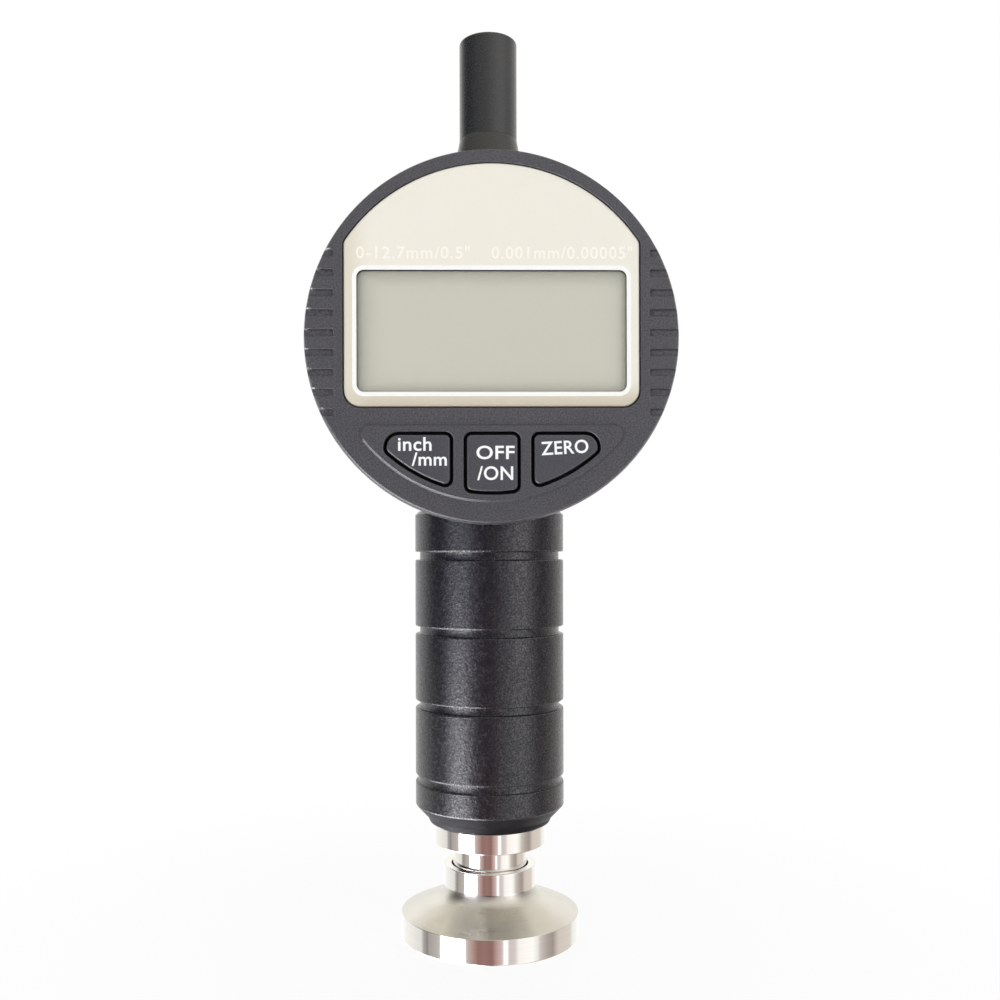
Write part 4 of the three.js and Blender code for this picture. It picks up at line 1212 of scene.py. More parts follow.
@dataclass
class Handle:
    """Black sleeve with wide grooves, a tapered lower end, and its set screw at the back."""

    radius: float = 13.0
    low: float = 20.05
    length: float = 54.2
    top_edge: float = 0.6
    top_rounds: Pair = (0.15, 0.1)
    lip_radius: float = 10.5
    lip_height: float = 0.9
    lip_rounds: Pair = (0.25, 0.1)
    taper_foot: float = 10.9
    taper_height: float = 2.2
    taper_round: float = 0.5
    dull_below: float = 0.3  # how far under the taper's top the duller finish begins
    dull_slope: float = 0.3  # upward share of a normal at which it ends
    groove_count: int = 4
    groove_pitch: float = 12.9
    lowest_groove: float = 7.1
    groove_height: float = 1.35
    groove_depth: float = 0.8
    shallow_depth: float = 0.4
    edge: float = 0.24
    tenon_bore: float = 7.75
    tenon_top: float = 30.2
    wide_bore: float = 6.2
    wide_top: float = 52.2
    stem_bore: float = 4.15
    screw_radius: float = 1.5
    screw_play: float = 0.1
    screw_below_top: float = 16.0
    screw_inset: float = 0.6
    screw_depth: float = 8.2
    screw_rounds: Pair = (0.3, 0.15)
    socket_share: float = 0.58
    socket_depth: float = 1.0
    sides: int = 192

    @property
    def taper_top(self) -> float:
        """Height at which the taper reaches the sleeve's full radius."""
        return self.low + self.lip_height + self.taper_height

    def grooves(self) -> list[tuple[float, ...]]:
        """Corners of all grooves, lowest first; the lowest one is shallow.

        Returns:
            Rows (radius, height, round).
        """
        rows: list[tuple[float, ...]] = []
        for place in range(self.groove_count):
            low = self.low + self.lowest_groove + place * self.groove_pitch
            floor = self.radius - (self.shallow_depth if place == 0 else self.groove_depth)
            rows += [
                (self.radius, low, self.edge),
                (floor, low, self.edge / 2.0),
                (floor, low + self.groove_height, self.edge / 2.0),
                (self.radius, low + self.groove_height, self.edge),
            ]
        return rows

    def sleeve(self) -> None:
        """The sleeve, turned about the stem's axis, with the set screw's hole."""
        top = self.low + self.length
        profile = rounded([
            (self.tenon_bore, self.low), (self.lip_radius, self.low, self.lip_rounds[0]),
            (self.taper_foot, self.low + self.lip_height, self.lip_rounds[1]),
            (self.radius, self.taper_top, self.taper_round), *self.grooves(),
            (self.radius, top - self.top_edge, self.top_rounds[0]),
            (self.radius - self.top_edge, top, self.top_rounds[1]), (self.stem_bore, top),
            (self.stem_bore, self.wide_top), (self.wide_bore, self.wide_top),
            (self.wide_bore, self.tenon_top), (self.tenon_bore, self.tenon_top),
        ], steps=4)
        piece = swept("handle_barrel", circle(self.sides), profile, Plane.LEVEL, closed=True)
        hole = rod(self.screw_radius + self.screw_play, self.screw_depth, self.radius + PAST)
        carve(piece, [self.on_screw("screw_bore", hole, 48)])
        paint_faces(piece, HANDLE_BLACK, HANDLE_FOOT, self.on_taper)
        seat(piece, HANDLE_BLACK, "root", "handle_sleeve")

    def on_taper(self, middles: Array, normals: Array) -> Array:
        """Mask of the taper's faces and those below it, which are smoother and take little sheen."""
        return (middles[:, 2] < self.taper_top - self.dull_below) & (normals[:, 2] < self.dull_slope)

    def on_screw(self, name: str, profile: Array, sides: int) -> Piece:
        """Piece turned about the set screw's axis, which runs along Y."""
        return swept(name, circle(sides, 0.0, self.low + self.length - self.screw_below_top), profile)

    def set_screw(self) -> None:
        """Set screw with a hexagon socket."""
        outer = self.radius - self.screw_inset
        profile = rounded([
            (0.0, self.stem_bore), (self.screw_radius, self.stem_bore, self.screw_rounds[0]),
            (self.screw_radius, outer, self.screw_rounds[1]), (0.0, outer),
        ], steps=3)
        piece = self.on_screw("barrel_set_screw", profile, 36)
        socket = rod(self.screw_radius * self.socket_share, outer - self.socket_depth, outer + PAST)
        carve(piece, [self.on_screw("socket", socket, 6)])
        seat(piece, GROUND_BACK, "root", "handle_clamp_screw")

    def build(self) -> None:
        """Makes the handle's pieces."""
        self.sleeve()
        self.set_screw()


@dataclass
class Needle:
    """Steel measuring needle whose tip stands level with the foot's face."""

    radius: float = 1.5
    length: float = 16.0
    half_angle: float = 30.0
    tip_flat: float = 0.06
    edge: float = 0.1
    stud_radius: float = 1.15
    stud_top: float = 20.5
    stud_edge: float = 0.2
    sides: int = 64

    def build(self) -> None:
        """Makes the needle, turned about the stem's axis."""
        cone = (self.radius - self.tip_flat) / math.tan(math.radians(self.half_angle))
        profile = rounded([
            (0.0, 0.0), (self.tip_flat, 0.0), (self.radius, cone, self.edge),
            (self.radius, self.length, self.edge), (self.stud_radius, self.length),
            (self.stud_radius, self.stud_top, self.stud_edge), (0.0, self.stud_top),
        ])
        piece = swept("measuring_needle", circle(self.sides), profile, Plane.LEVEL)
        seat(piece, GROUND, "plunger", "probe_needle")


@dataclass
class ReturnSpring:
    """Coil spring between the plunger's carrier and the top of the case."""

    wire: float = 0.3
    radius: float = 3.1
    low: float = 92.42
    high: float = 124.26
    coils: int = 10
    end_rise: float = 0.02
    pressed_share: float = 0.65
    steps_per_coil: int = 24
    wire_sides: int = 10
    sharp: float = 60.0

    def build(self) -> None:
        """Makes the wire.

        The wire's middle runs on (radius * cos a, radius * sin a, h). The height h goes evenly with
        the turn, except over the first and the last coil, which lie close. Each ring of the wire
        is middle + wire * (cos t * outward + sin t * across), with across square to the run.
        """
        turns = np.linspace(0.0, self.coils, self.coils * self.steps_per_coil + 1)
        share = np.interp(turns, (0, 1, self.coils - 1, self.coils), (0, self.end_rise, 1 - self.end_rise, 1))
        angle = turns * 2.0 * math.pi
        still = np.zeros_like(angle)
        outward = np.column_stack((np.cos(angle), np.sin(angle), still))
        height = self.low + (self.high - self.low) * share
        middle = self.radius * outward + np.column_stack((still, still, height))
        run = np.gradient(middle, axis=0)
        run /= np.linalg.norm(run, axis=1, keepdims=True)
        across = np.cross(outward, run)
        section = arc((0.0, 0.0), self.wire, 0.0, 360.0, self.wire_sides)[None, :-1]
        rings = middle[:, None] + section[..., :1] * outward[:, None] + section[..., 1:] * across[:, None]
        piece = piece_of_rings("coil_spring", rings, sharp=self.sharp)
        seat(piece, GROUND, "root", "return_spring")
        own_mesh(piece)


# Case


@dataclass
class Case:
    """Round case behind the display with its boss, cap, back cover, lug, cell cap and port plug."""

    radius: float = 26.531
    bore: float = 24.631
    front: float = -13.0
    back: float = 7.05
    web_front: float = -7.2
    web_back: float = -5.8
    web_hole: float = 9.1
    edge: float = 0.5
    joint_edge: float = 0.15
    lower_boss: float = 6.0
    lower_drop: float = 0.869
    pad_height: float = 22.931
    stem_hole: float = 4.15
    boss_foot: float = 7.1
    boss_sink: float = 0.97  # share of the case's height over the boss's foot at which the boss begins
    boss_shoulder: float = 0.4
    boss_radius: float = 5.03
    boss_top: float = 37.631
    boss_fillet: float = 1.2
    boss_paint: float = 0.3  # height over the case from which the boss has the cap's finish
    neck_radius: float = 3.85
    neck_top: float = 41.631
    neck_edge: float = 0.2
    neck_bore: float = 3.1
    port_half_height: float = 4.2
    port_half_depth: float = 2.0
    port_middle: float = -1.8
    port_corner: float = 0.7
    plug_lip: float = 1.0
    plug_thickness: float = 0.6
    plug_depth: float = 1.2
    plug_face: tuple[Pair, ...] = ((0.0, -0.3), (-0.1, -0.1), (-0.3, 0.0), (-1.6, 0.0), (-1.8, -0.12),
                                   (-2.0, -0.12))
    plug_sharp: float = 40.0
    seat_gap: float = 0.15
    cap_radius: float = 5.03
    cap_bore: float = 4.0
    cap_length: float = 17.1
    cap_top: float = 1.4
    cap_edge: float = 0.45
    hairline: float = 0.02  # joint between the cap and the boss, and the rounds beside it
    cover_back: float = 9.0
    cover_thickness: float = 1.8
    lug_radius: float = 5.2
    lug_half: float = 3.0
    lug_edge: float = 0.4
    lug_inset: float = 0.6
    lug_middle: float = 13.0
    lug_hole: float = 3.25
    lug_flare: float = 1.2
    lug_root: float = 1.4
    well_x: float = 14.949
    well_z: float = 7.949
    well_plug: float = 6.0
    well_mouth: float = 0.2
    cell_cap_radius: float = 7.4
    cell_cap_height: float = 0.8
    cell_cap_rounds: Pair = (0.1, 0.25)
    cell_cap_step: float = 0.5
    coin_half: Pair = (6.2, 0.8)
    coin_corner: float = 0.75
    coin_floor: tuple[Pair, ...] = ((-0.15, -0.45), (0.0, -0.2), (0.0, 0.6))
    screw_circle: float = 21.331
    screw_angles: tuple[float, ...] = (67.7, 112.3, 214.5, 325.5)
    screw_head: float = 2.0
    screw_head_edge: float = 0.08
    screw_height: float = 1.1
    screw_radius: float = 0.9
    screw_length: float = 6.0
    screw_tip: float = 0.2
    screw_play: float = 0.1
    screw_hole: float = 4.0
    cross_half: Pair = (1.05, 0.2)
    cross_corner: float = 0.08
    cross_floor: tuple[Pair, ...] = ((-0.12, -0.75), (0.0, -0.3), (0.0, 0.5))
    sides: int = 192

    def head_circle(self, sides: int, place: Pair = (0.0, 0.0)) -> Outline:
        """Circle in the upright plane about a point (x, z) counted from the head's centre."""
        return circle(sides, place[0], HEAD_HEIGHT + place[1])

    def screws(self) -> list[Pair]:
        """Places (x, z) of the cover's screws on their circle."""
        turns = [math.radians(angle) for angle in self.screw_angles]
        return [(self.screw_circle * math.cos(turn), self.screw_circle * math.sin(turn)) for turn in turns]

    def shell(self) -> None:
        """The case: a ring with an inner web, its two bosses, and the port's opening."""
        ring = rounded([
            (self.bore, self.front), (self.radius, self.front, self.edge),
            (self.radius, self.back, self.joint_edge), (self.bore, self.back),
            (self.bore, self.web_back), (self.web_hole, self.web_back),
            (self.web_hole, self.web_front), (self.bore, self.web_front),
        ])
        piece = swept("case_shell", self.head_circle(self.sides), ring, closed=True)
        foot = math.sqrt(self.radius**2 - self.boss_foot**2) * self.boss_sink
        boss = rounded([
            (0.0, self.pad_height), (self.boss_foot, self.pad_height),
            (self.boss_foot + self.boss_fillet, foot),
            (self.boss_foot, self.radius + self.boss_shoulder, self.boss_fillet * 2.0),
            (self.boss_radius, self.boss_top, self.hairline), (self.neck_radius, self.boss_top),
            (self.neck_radius, self.neck_top, self.neck_edge), (0.0, self.neck_top),
        ])
        pad = rod(self.lower_boss, -self.radius - self.lower_drop, -self.pad_height)
        carve(piece, [self.on_stem("boss", boss, 96), self.on_stem("lower_boss", pad, 96)], Carving.JOIN)
        stem = rod(self.stem_hole, -self.radius - 2.0 * PAST, -self.pad_height + PAST)
        bush = rod(self.neck_bore, self.pad_height - PAST, self.neck_top + PAST)
        port = np.array([(0.0, self.bore - 1.5 * PAST), (0.0, self.radius + 1.5 * PAST)])
        carve(piece, [
            self.on_stem("stem_bore", stem, 64),
            self.on_stem("bush_bore", bush, 64),
            swept("port_opening", self.port_outline(self.seat_gap), port, Plane.SIDEWAYS),
        ])
        paint_faces(piece, CASE_BLACK, CAP_BLACK, self.on_boss)
        seat(piece, CASE_BLACK, "root", "rear_housing")

    def on_boss(self, middles: Array, _normals: Array) -> Array:
        """Mask of the upper boss, which has the cap's finish."""
        return middles[:, 2] > HEAD_HEIGHT + self.radius + self.boss_paint

    def on_stem(self, name: str, profile: Array, sides: int) -> Piece:
        """Piece turned about the stem's axis, with heights counted from the head's centre."""
        return swept(name, circle(sides), profile + (0.0, HEAD_HEIGHT), Plane.LEVEL)

    def port_outline(self, grow: float) -> Outline:
        """Rounded rectangle of the data port in the sideways plane."""
        return box(self.port_middle, HEAD_HEIGHT, self.port_half_depth + grow, self.port_half_height + grow,
                   self.port_corner + grow)

    def port_plug(self) -> None:
        """Rubber plug that follows the case: x = root of (radius squared less z squared) on each ring."""
        lip = self.port_outline(self.plug_lip)
        hole = self.port_outline(0.0)
        top = self.seat_gap + self.plug_thickness
        layers = [(hole, -1.0, -self.plug_depth), (hole, 0.0, -self.plug_depth), (hole, 0.0, self.seat_gap),
                  (lip, 0.0, self.seat_gap)]
        layers += [(lip, grow, top + rise) for grow, rise in self.plug_face]
        rings = []
        for outline, grow, rise in layers:
            section = outline(grow)
            level = section[:, 1] - HEAD_HEIGHT
            rings.append(lay(section, np.sqrt((self.radius + rise) ** 2 - level**2), Plane.SIDEWAYS))
        piece = piece_of_rings("port_plug", np.stack(rings), sharp=self.plug_sharp)
        seat(piece, RUBBER_BLACK, "root", "data_port_plug")

    def cap(self) -> None:
        """Tube over the spindle's upper end, closed at its top."""
        low = self.boss_top + self.hairline
        high = self.boss_top + self.seat_gap + self.cap_length
        profile = rounded([
            (0.0, high - self.cap_top), (self.cap_bore, high - self.cap_top), (self.cap_bore, low),
            (self.cap_radius, low, self.hairline), (self.cap_radius, high, self.cap_edge),
            (0.0, high),
        ])
        seat(self.on_stem("cap_tube", profile, 128), CAP_BLACK, "root", "spindle_cap")

    def lug(self) -> Piece:
        """Round-ended tab, flared at its root, with rounded edges; sections across X.

        Returns:
            The tab, which the cover takes up.
        """
        about = np.array([self.lug_middle, HEAD_HEIGHT])
        tip = arc((self.lug_middle, HEAD_HEIGHT), self.lug_radius, 90, -90, 36)
        neck = (self.cover_back + self.lug_root, self.lug_radius)
        flare = self.lug_radius + self.lug_flare
        wide = [(self.cover_back, flare), (self.cover_back - self.cover_thickness / 2.0, flare)]

        def outline(grow: float) -> Array:
            """Points of the grown tab: its root's upper side, its round end and the root's lower side.

            Args:
                grow: How far its edges move out.

            Returns:
                Array of shape (n, 2).
            """
            side = np.array([neck, *wide]) + (0.0, grow)
            end = about + (tip - about) * (1.0 + grow / self.lug_radius)
            upper, lower = side[::-1] + (0.0, HEAD_HEIGHT), side * (1.0, -1.0) + (0.0, HEAD_HEIGHT)
            return np.vstack((upper, end, lower))

        edge = plate(self.lug_inset, (-self.lug_half, self.lug_half), (self.lug_edge, self.lug_edge), steps=4)
        return swept("lug", outline, edge, Plane.SIDEWAYS)

    def cover(self) -> None:
        """Back cover with the lug, the cell cap's recess and the screws' countersinks."""
        back = self.cover_back
        near = back - self.cover_thickness
        disc = rounded([(0.0, near), (self.radius, near, self.joint_edge), (self.radius, back, self.edge),
                        (0.0, back)])
        piece = swept("cover_plate", self.head_circle(self.sides), disc)
        carve(piece, [self.lug()], Carving.JOIN)
        recess = self.cell_cap_radius + self.seat_gap
        floor = back - self.cell_cap_height - self.seat_gap
        well = np.array([(0.0, floor), (recess, floor), (recess, back - 0.01),
                         (recess + self.well_mouth, back + self.well_mouth), (0.0, back + self.well_mouth)])
        hole = rod(self.lug_hole, -self.lug_half - PAST, self.lug_half + PAST)
        tools = [
            swept("lug_bore", circle(64, self.lug_middle, HEAD_HEIGHT), hole, Plane.SIDEWAYS),
            swept("cell_recess", self.head_circle(96, (self.well_x, self.well_z)), well),
        ]
        wide, narrow = self.screw_head + self.screw_play, self.screw_radius + self.screw_play
        sink = np.array([(0.0, back + PAST), (wide, back + PAST), (wide, back),
                         (narrow, back - self.screw_height), (narrow, back - self.screw_hole),
                         (0.0, back - self.screw_hole)])
        tools += [swept("countersink", self.head_circle(48, place), sink) for place in self.screws()]
        carve(piece, tools)
        seat(piece, CASE_BLACK, "root", "back_cover")

    def recess(self, name: str, place: Pair, half: Pair, corner: float, floor: Sequence[Pair],
               steps: int) -> Piece:
        """Cutting prism of a slot in the cover's back.

        Args:
            name: Name of the tool.
            place: The slot's middle (x, z), counted from the head's centre.
            half: Half its width and half its height.
            corner: Radius of its corners.
            floor: Rows (growth, rise over the cover's back), from the slot's floor outwards.
            steps: Chords in a corner.

        Returns:
            The tool.
        """
        outline = box(place[0], HEAD_HEIGHT + place[1], *half, corner, steps)
        return swept(name, outline, np.array(floor) + (0.0, self.cover_back))

    def cover_screw(self, number: int, place: Pair) -> None:
        """Countersunk screw with a cross recess.

        Args:
            number: Number of the screw, from 1.
            place: Its place (x, z).
        """
        back = self.cover_back
        end = back - self.screw_length
        profile = rounded([
            (0.0, back), (self.screw_head, back, self.screw_head_edge),
            (self.screw_radius, back - self.screw_height), (self.screw_radius, end, self.screw_tip),
            (0.0, end),
        ], steps=3)
        piece = swept(f"cover_bolt_{number}", self.head_circle(48, place), profile)
        carve(piece, [
            self.recess(name, place, half, self.cross_corner, self.cross_floor, 2)
            for name, half in (("arm_across", self.cross_half), ("arm_up", self.cross_half[::-1]))
        ])
        seat(piece, GROUND_BACK, "root", f"cover_screw_{number}")

    def cell_cap(self) -> None:
        """Screw-in cap of the cell's well, with a coin slot."""
        low = self.cover_back - self.cell_cap_height
        plug = self.well_plug - self.seat_gap
        profile = rounded([
            (0.0, low - self.cell_cap_step), (plug, low - self.cell_cap_step), (plug, low),
            (self.cell_cap_radius, low, self.cell_cap_rounds[0]),
            (self.cell_cap_radius, self.cover_back, self.cell_cap_rounds[1]), (0.0, self.cover_back),
        ])
        place = (self.well_x, self.well_z)
        piece = swept("coin_cap", self.head_circle(96, place), profile)
        carve(piece, [self.recess("coin_slot", place, self.coin_half, self.coin_corner, self.coin_floor, 6)])
        seat(piece, CASE_BLACK, "root", "battery_cap")

    def build(self) -> None:
        """Makes the case's pieces."""
        self.shell()
        self.cap()
        self.cover()
        for number, place in enumerate(self.screws(), start=1):
            self.cover_screw(number, place)
        self.cell_cap()
        self.port_plug()


# Display


@dataclass(frozen=True)
class Words:
    """Printed words: body, text, height, middle (x, z) counted from the head's centre, width and tilt."""

    name: str
    body: str
    text: str
    height: float
    x: float
    z: float
    width: float
    tilt: float = 0.0


PANEL_WORDS = (
    Words("label_range", "display_head", '0-12.7mm/0.5"', 1.95, -12.6, 13.4, 18.2),
    Words("label_step", "display_head", '0.001mm/0.00005"', 1.95, 11.3, 13.4, 22.6),
)
KEY_WORDS = (
    Words("legend_inch", "key_unit", "inch", 2.2, -12.35, -17.4, 5.35),
    Words("legend_mm", "key_unit", "/mm", 2.1, -10.05, -19.8, 5.6),
    Words("legend_off", "key_power", "OFF", 2.15, 0.5, -18.75, 6.1),
    Words("legend_on", "key_power", "/ON", 2.2, 0.45, -22.05, 5.75),
    Words("legend_zero", "key_zero", "ZERO", 2.15, 11.55, -17.95, 7.5, tilt=3.0),
)


@dataclass
class Display:
    """Turning display: bezel with its key field and grip notches, panel, window, glass and prints."""

    bezel_radius: float = 30.181
    bezel_front: float = -17.5
    bezel_back: float = -13.3
    bezel_back_edge: float = 0.25
    wall: float = 1.8
    rim_round: float = 0.36
    rim_slope: float = 0.32
    rim_drop: float = 0.9
    rim_side_round: float = 0.3
    view_half: float = 21.65
    view_top: float = 10.6
    view_bottom: float = -8.9
    view_corner: float = 1.15
    view_edge: float = 0.06
    panel_half: float = 23.75
    panel_bottom: float = -11.3
    arch_drop: float = 0.8
    arch_radius: float = 28.581
    panel_corner: float = 2.7
    shoulder: float = 1.5
    panel_front: float = -17.2
    panel_back: float = -16.4
    panel_inset: float = 0.8
    panel_rounds: Pair = (0.3, 0.1)
    print_width: float = 0.66
    glass_front: float = -16.1
    glass_back: float = -14.6
    glass_border: float = 0.95
    glass_top_border: float = 1.2
    glass_opening: float = -17.0
    glass_edge: float = 0.1
    window_recess: float = 0.4
    window_thickness: float = 0.5
    window_edge: float = 0.05
    pane_inset: float = 0.5
    seat_gap: float = 0.15
    pocket_drop: float = 0.09
    pocket_mouth: float = 0.08
    notch_count: int = 9
    notch_pitch: float = 3.185
    notch_rise: float = 0.5
    notch_height: float = 1.24
    notch_depth: float = 0.6
    notch_reach: float = 4.85
    notch_corner: float = 0.3
    notch_narrowing: float = 0.06
    notch_mouth: float = 0.12
    field_top: float = -14.1
    field_bow: float = 26.751
    field_side: float = 2.3
    field_corner: float = 1.6
    field_rise: float = 0.5
    field_bevel: float = 0.38
    field_inset: float = 1.2
    field_rounds: Pair = (0.14, 0.05)
    field_foot: float = 0.04  # how far the bevel's foot stands over the bezel's face
    field_sink: float = 0.4  # how far its prism ends inside the wall
    field_steps: int = 112
    key_margin: float = 1.8
    key_gap: float = 0.5
    key_stand: float = 0.2
    key_flange: float = 1.0
    key_travel_back: float = -14.9
    key_inset: float = 0.7
    key_edge: float = 0.32
    # depth behind the key's face from which its sides take painted shade
    key_paint: float = 0.45
    well_mouth: float = 0.22
    nub_radius: float = 1.4
    nub_below_top: float = 2.2
    nub_stand: float = 0.15
    middle_half: float = 4.05
    key_spacing: float = 2.7
    key_side: float = 2.5
    key_corner: float = 0.8
    outer_corner: float = 2.0
    gap_above: float = 0.3  # how far over the panel's foot the painted shade of the gaps goes up
    gap_depth: float = 0.13
    gap_slope: float = 0.3
    sides: int = 256
    keys: dict[str, Bow] = field(default_factory=dict)

    def __post_init__(self) -> None:
        """Works out the outlines that follow from the sizes."""
        side = math.sqrt(self.field_bow**2 - (self.field_top - self.field_side) ** 2)
        corners = (self.field_corner,) * 3
        self.field = self.lifted(Bow(-side, side, self.field_top, self.field_bow, *corners, self.field_steps))
        top = self.field_top - self.key_margin
        bow = self.field_bow - self.key_margin
        inner = self.middle_half + self.key_spacing
        outer = math.sqrt(bow**2 - (top - self.key_side) ** 2)
        small, large = self.key_corner, self.outer_corner
        self.keys = {
            "key_unit": Bow(-outer, -inner, top, bow, large, small, small, 24),
            "key_power": Bow(-self.middle_half, self.middle_half, top, bow, small, small, small, 16),
            "key_zero": Bow(inner, outer, top, bow, small, large, small, 24),
        }
        drop = self.arch_drop
        self.panel = self.lifted(Bow(
            -self.panel_half, self.panel_half, -(self.panel_bottom + drop), self.arch_radius,
            self.panel_corner, self.panel_corner, self.shoulder, upside_down=True, lift=-drop,
        ))
        low, high = self.view_bottom, self.view_top
        self.view = self.lifted(rectangle(-self.view_half, self.view_half, low, high, self.view_corner))
        half, border = self.view_half + self.glass_border, self.glass_top_border
        self.glass = self.lifted(rectangle(-half, half, low - border, high + border, self.view_corner))

    @staticmethod
    def lifted(outline: Outline) -> Outline:
        """Outline counted from the head's centre, moved up into the row frame."""
        return lambda grow: outline(grow) + (0.0, HEAD_HEIGHT)

    def pocket(self, grow: float) -> Array:
        """Outline of the panel's pocket, which lies a little lower than the panel."""
        return self.panel(grow) - (0.0, self.pocket_drop)

    @property
    def field_front(self) -> float:
        """Depth of the key field's face."""
        return self.bezel_front - self.field_rise

    @property
    def key_front(self) -> float:
        """Depth of the keys' faces."""
        return self.field_front - self.key_stand

    @property
    def wall_back(self) -> float:
        """Depth of the back of the bezel's front wall."""
        return self.bezel_front + self.wall

    def flared_tool(self, name: str, outline: Outline, grow: float, deep: float, face: float,
                    flare: float) -> Piece:
        """Cutting prism whose mouth rounds the edge that it leaves.

        Below the face the section is the outline grown by grow; in the last part of its way,
        flare deep, it widens along a quarter circle, and above the face it stays wide.

        Args:
            name: Name of the tool.
            outline: Outline of the hole.
            grow: How far the hole is grown.
            deep: Depth of its far end.
            face: Depth of the face that it opens in.
            flare: Radius of the rounded mouth.

        Returns:
            The tool.
        """
        turn = np.linspace(0.0, math.pi / 2.0, 5)
        mouth = np.column_stack((grow + flare * (1.0 - np.cos(turn)), face + flare * (1.0 - np.sin(turn))))
        end = (grow + flare, face - 2.0 * PAST)
        return swept(name, outline, np.vstack(([(grow, deep)], mouth, [end])))

    def notch_tools(self) -> list[Piece]:
        """Grip notches on both sides, open through the rim, with rounded mouths.

        Returns:
            One cutting prism for each notch.
        """
        inner, outer = self.bezel_radius - self.notch_reach, self.bezel_radius + 2.0 * PAST
        outlines = []
        for place in range(self.notch_count):
            middle = HEAD_HEIGHT + self.notch_rise + (place - (self.notch_count - 1) / 2.0) * self.notch_pitch
            low, high = middle - self.notch_height / 2.0, middle + self.notch_height / 2.0
            outlines += [rectangle(left, right, low, high, self.notch_corner, steps=4)
                         for left, right in ((inner, outer), (-outer, -inner))]
        face = self.bezel_front
        return [self.flared_tool("notch", outline, -self.notch_narrowing, face + self.notch_depth, face,
                                 self.notch_mouth) for outline in outlines]

    def bezel(self) -> None:
        """The bezel: a shallow cup with the raised key field, pocket, wells and grip notches."""
        front, inset, sink = self.bezel_front, self.field_inset, self.wall_back - self.field_sink
        cavity = self.bezel_radius - self.wall
        cup = rounded([
            (0.0, front), (self.bezel_radius - self.rim_slope, front, self.rim_round),
            (self.bezel_radius, front + self.rim_drop, self.rim_side_round),
            (self.bezel_radius, self.bezel_back, self.bezel_back_edge), (cavity, self.bezel_back),
            (cavity, self.wall_back), (0.0, self.wall_back),
        ], steps=6)
        piece = swept("bezel_face", circle(self.sides, 0.0, HEAD_HEIGHT), cup)
        rise = rounded([
            (-inset, self.field_front), (-self.field_bevel, self.field_front, self.field_rounds[0]),
            (0.0, front - self.field_foot, self.field_rounds[1]), (0.0, sink), (-inset, sink),
        ])
        carve(piece, [swept("key_field", self.field, rise)], Carving.JOIN)
        past = self.wall_back + PAST
        tools = [
            self.flared_tool("pocket", self.pocket, self.seat_gap, self.panel_back + self.seat_gap, front,
                             self.pocket_mouth),
            swept("glass_opening", self.glass,
                  np.array([(self.seat_gap, past), (self.seat_gap, self.glass_opening)])),
        ]
        tools += [self.flared_tool("well", self.lifted(key), self.key_gap, past, self.field_front,
                                   self.well_mouth) for key in self.keys.values()]
        carve(piece, tools + self.notch_tools())
        # painted shade in the pocket's foot and the key wells
        paint_faces(piece, BEZEL_GREY, PAINTED_GAP_SHADE, self.in_gaps)
        seat(piece, BEZEL_GREY, "display_head", "front_bezel")

    def in_gaps(self, middles: Array, normals: Array) -> Array:
        """Mask of the upright faces that line the panel's pocket along its foot, and the key wells, which
        take painted shade.

        Args:
            middles: Middles of the faces.
            normals: Their normals.

        Returns:
            The mask.
        """
        level = middles[:, 2] - HEAD_HEIGHT
        low = level < self.panel_bottom + self.gap_above
        inside = np.hypot(middles[:, 0], level) < self.field_bow
        deep = (middles[:, 1] > self.bezel_front + self.gap_depth) & (middles[:, 1] < self.wall_back)
        return low & inside & deep & (np.abs(normals[:, 1]) < self.gap_slope)

    def label(self) -> None:
        """The face panel with the view cut out, both edges softened."""
        edge = plate(self.panel_inset, (self.panel_front, self.panel_back), self.panel_rounds)
        piece = swept("label_plate", self.panel, edge)
        carve(piece, [self.flared_tool("view", self.view, 0.0, self.panel_back + PAST, self.panel_front,
                                       self.view_edge)])
        # painted shade on the walls of the view's opening
        paint_faces(piece, PANEL, PAINTED_GAP_SHADE, self.in_view)
        seat(piece, PANEL, "display_head", "face_panel")

    def in_view(self, middles: Array, _normals: Array) -> Array:
        """Mask of the faces that line the view's opening, which take painted shade.

        Args:
            middles: Middles of the faces.
            _normals: Their normals, not used.

        Returns:
            The mask.
        """
        level = middles[:, 2] - HEAD_HEIGHT
        across = np.abs(middles[:, 0]) < self.view_half + self.view_edge
        upward = (level > self.view_bottom - self.view_edge) & (level < self.view_top + self.view_edge)
        return across & upward & (middles[:, 1] > self.panel_front + self.view_edge / 2.0)

    def border(self) -> None:
        """White printed line round the view, a closed band between two grown outlines."""
        front, film = self.panel_front, self.panel_front - INK_FILM
        inner, outer = self.view_edge, self.view_edge + self.print_width
        band = np.array([(inner, front), (inner, film), (outer, film), (outer, front)])
        seat(swept("label_border", self.view, band, closed=True), WHITE_INK, "display_head")

    def window(self) -> None:
        """Clear pane in the panel's opening."""
        front = self.panel_front + self.window_recess
        faces = (front, front + self.window_thickness)
        pane = plate(self.pane_inset, faces, (self.window_edge, self.window_edge), -self.seat_gap, steps=2)
        seat(swept("clear_window", self.view, pane), PANE, "display_head", "display_window")

    def lcd(self) -> None:
        """Display glass behind the window."""
        faces = (self.glass_front, self.glass_back)
        slab = plate(self.pane_inset, faces, (self.glass_edge, self.glass_edge), steps=2)
        seat(swept("lcd_slab", self.glass, slab), LCD, "display_head", "display_glass")

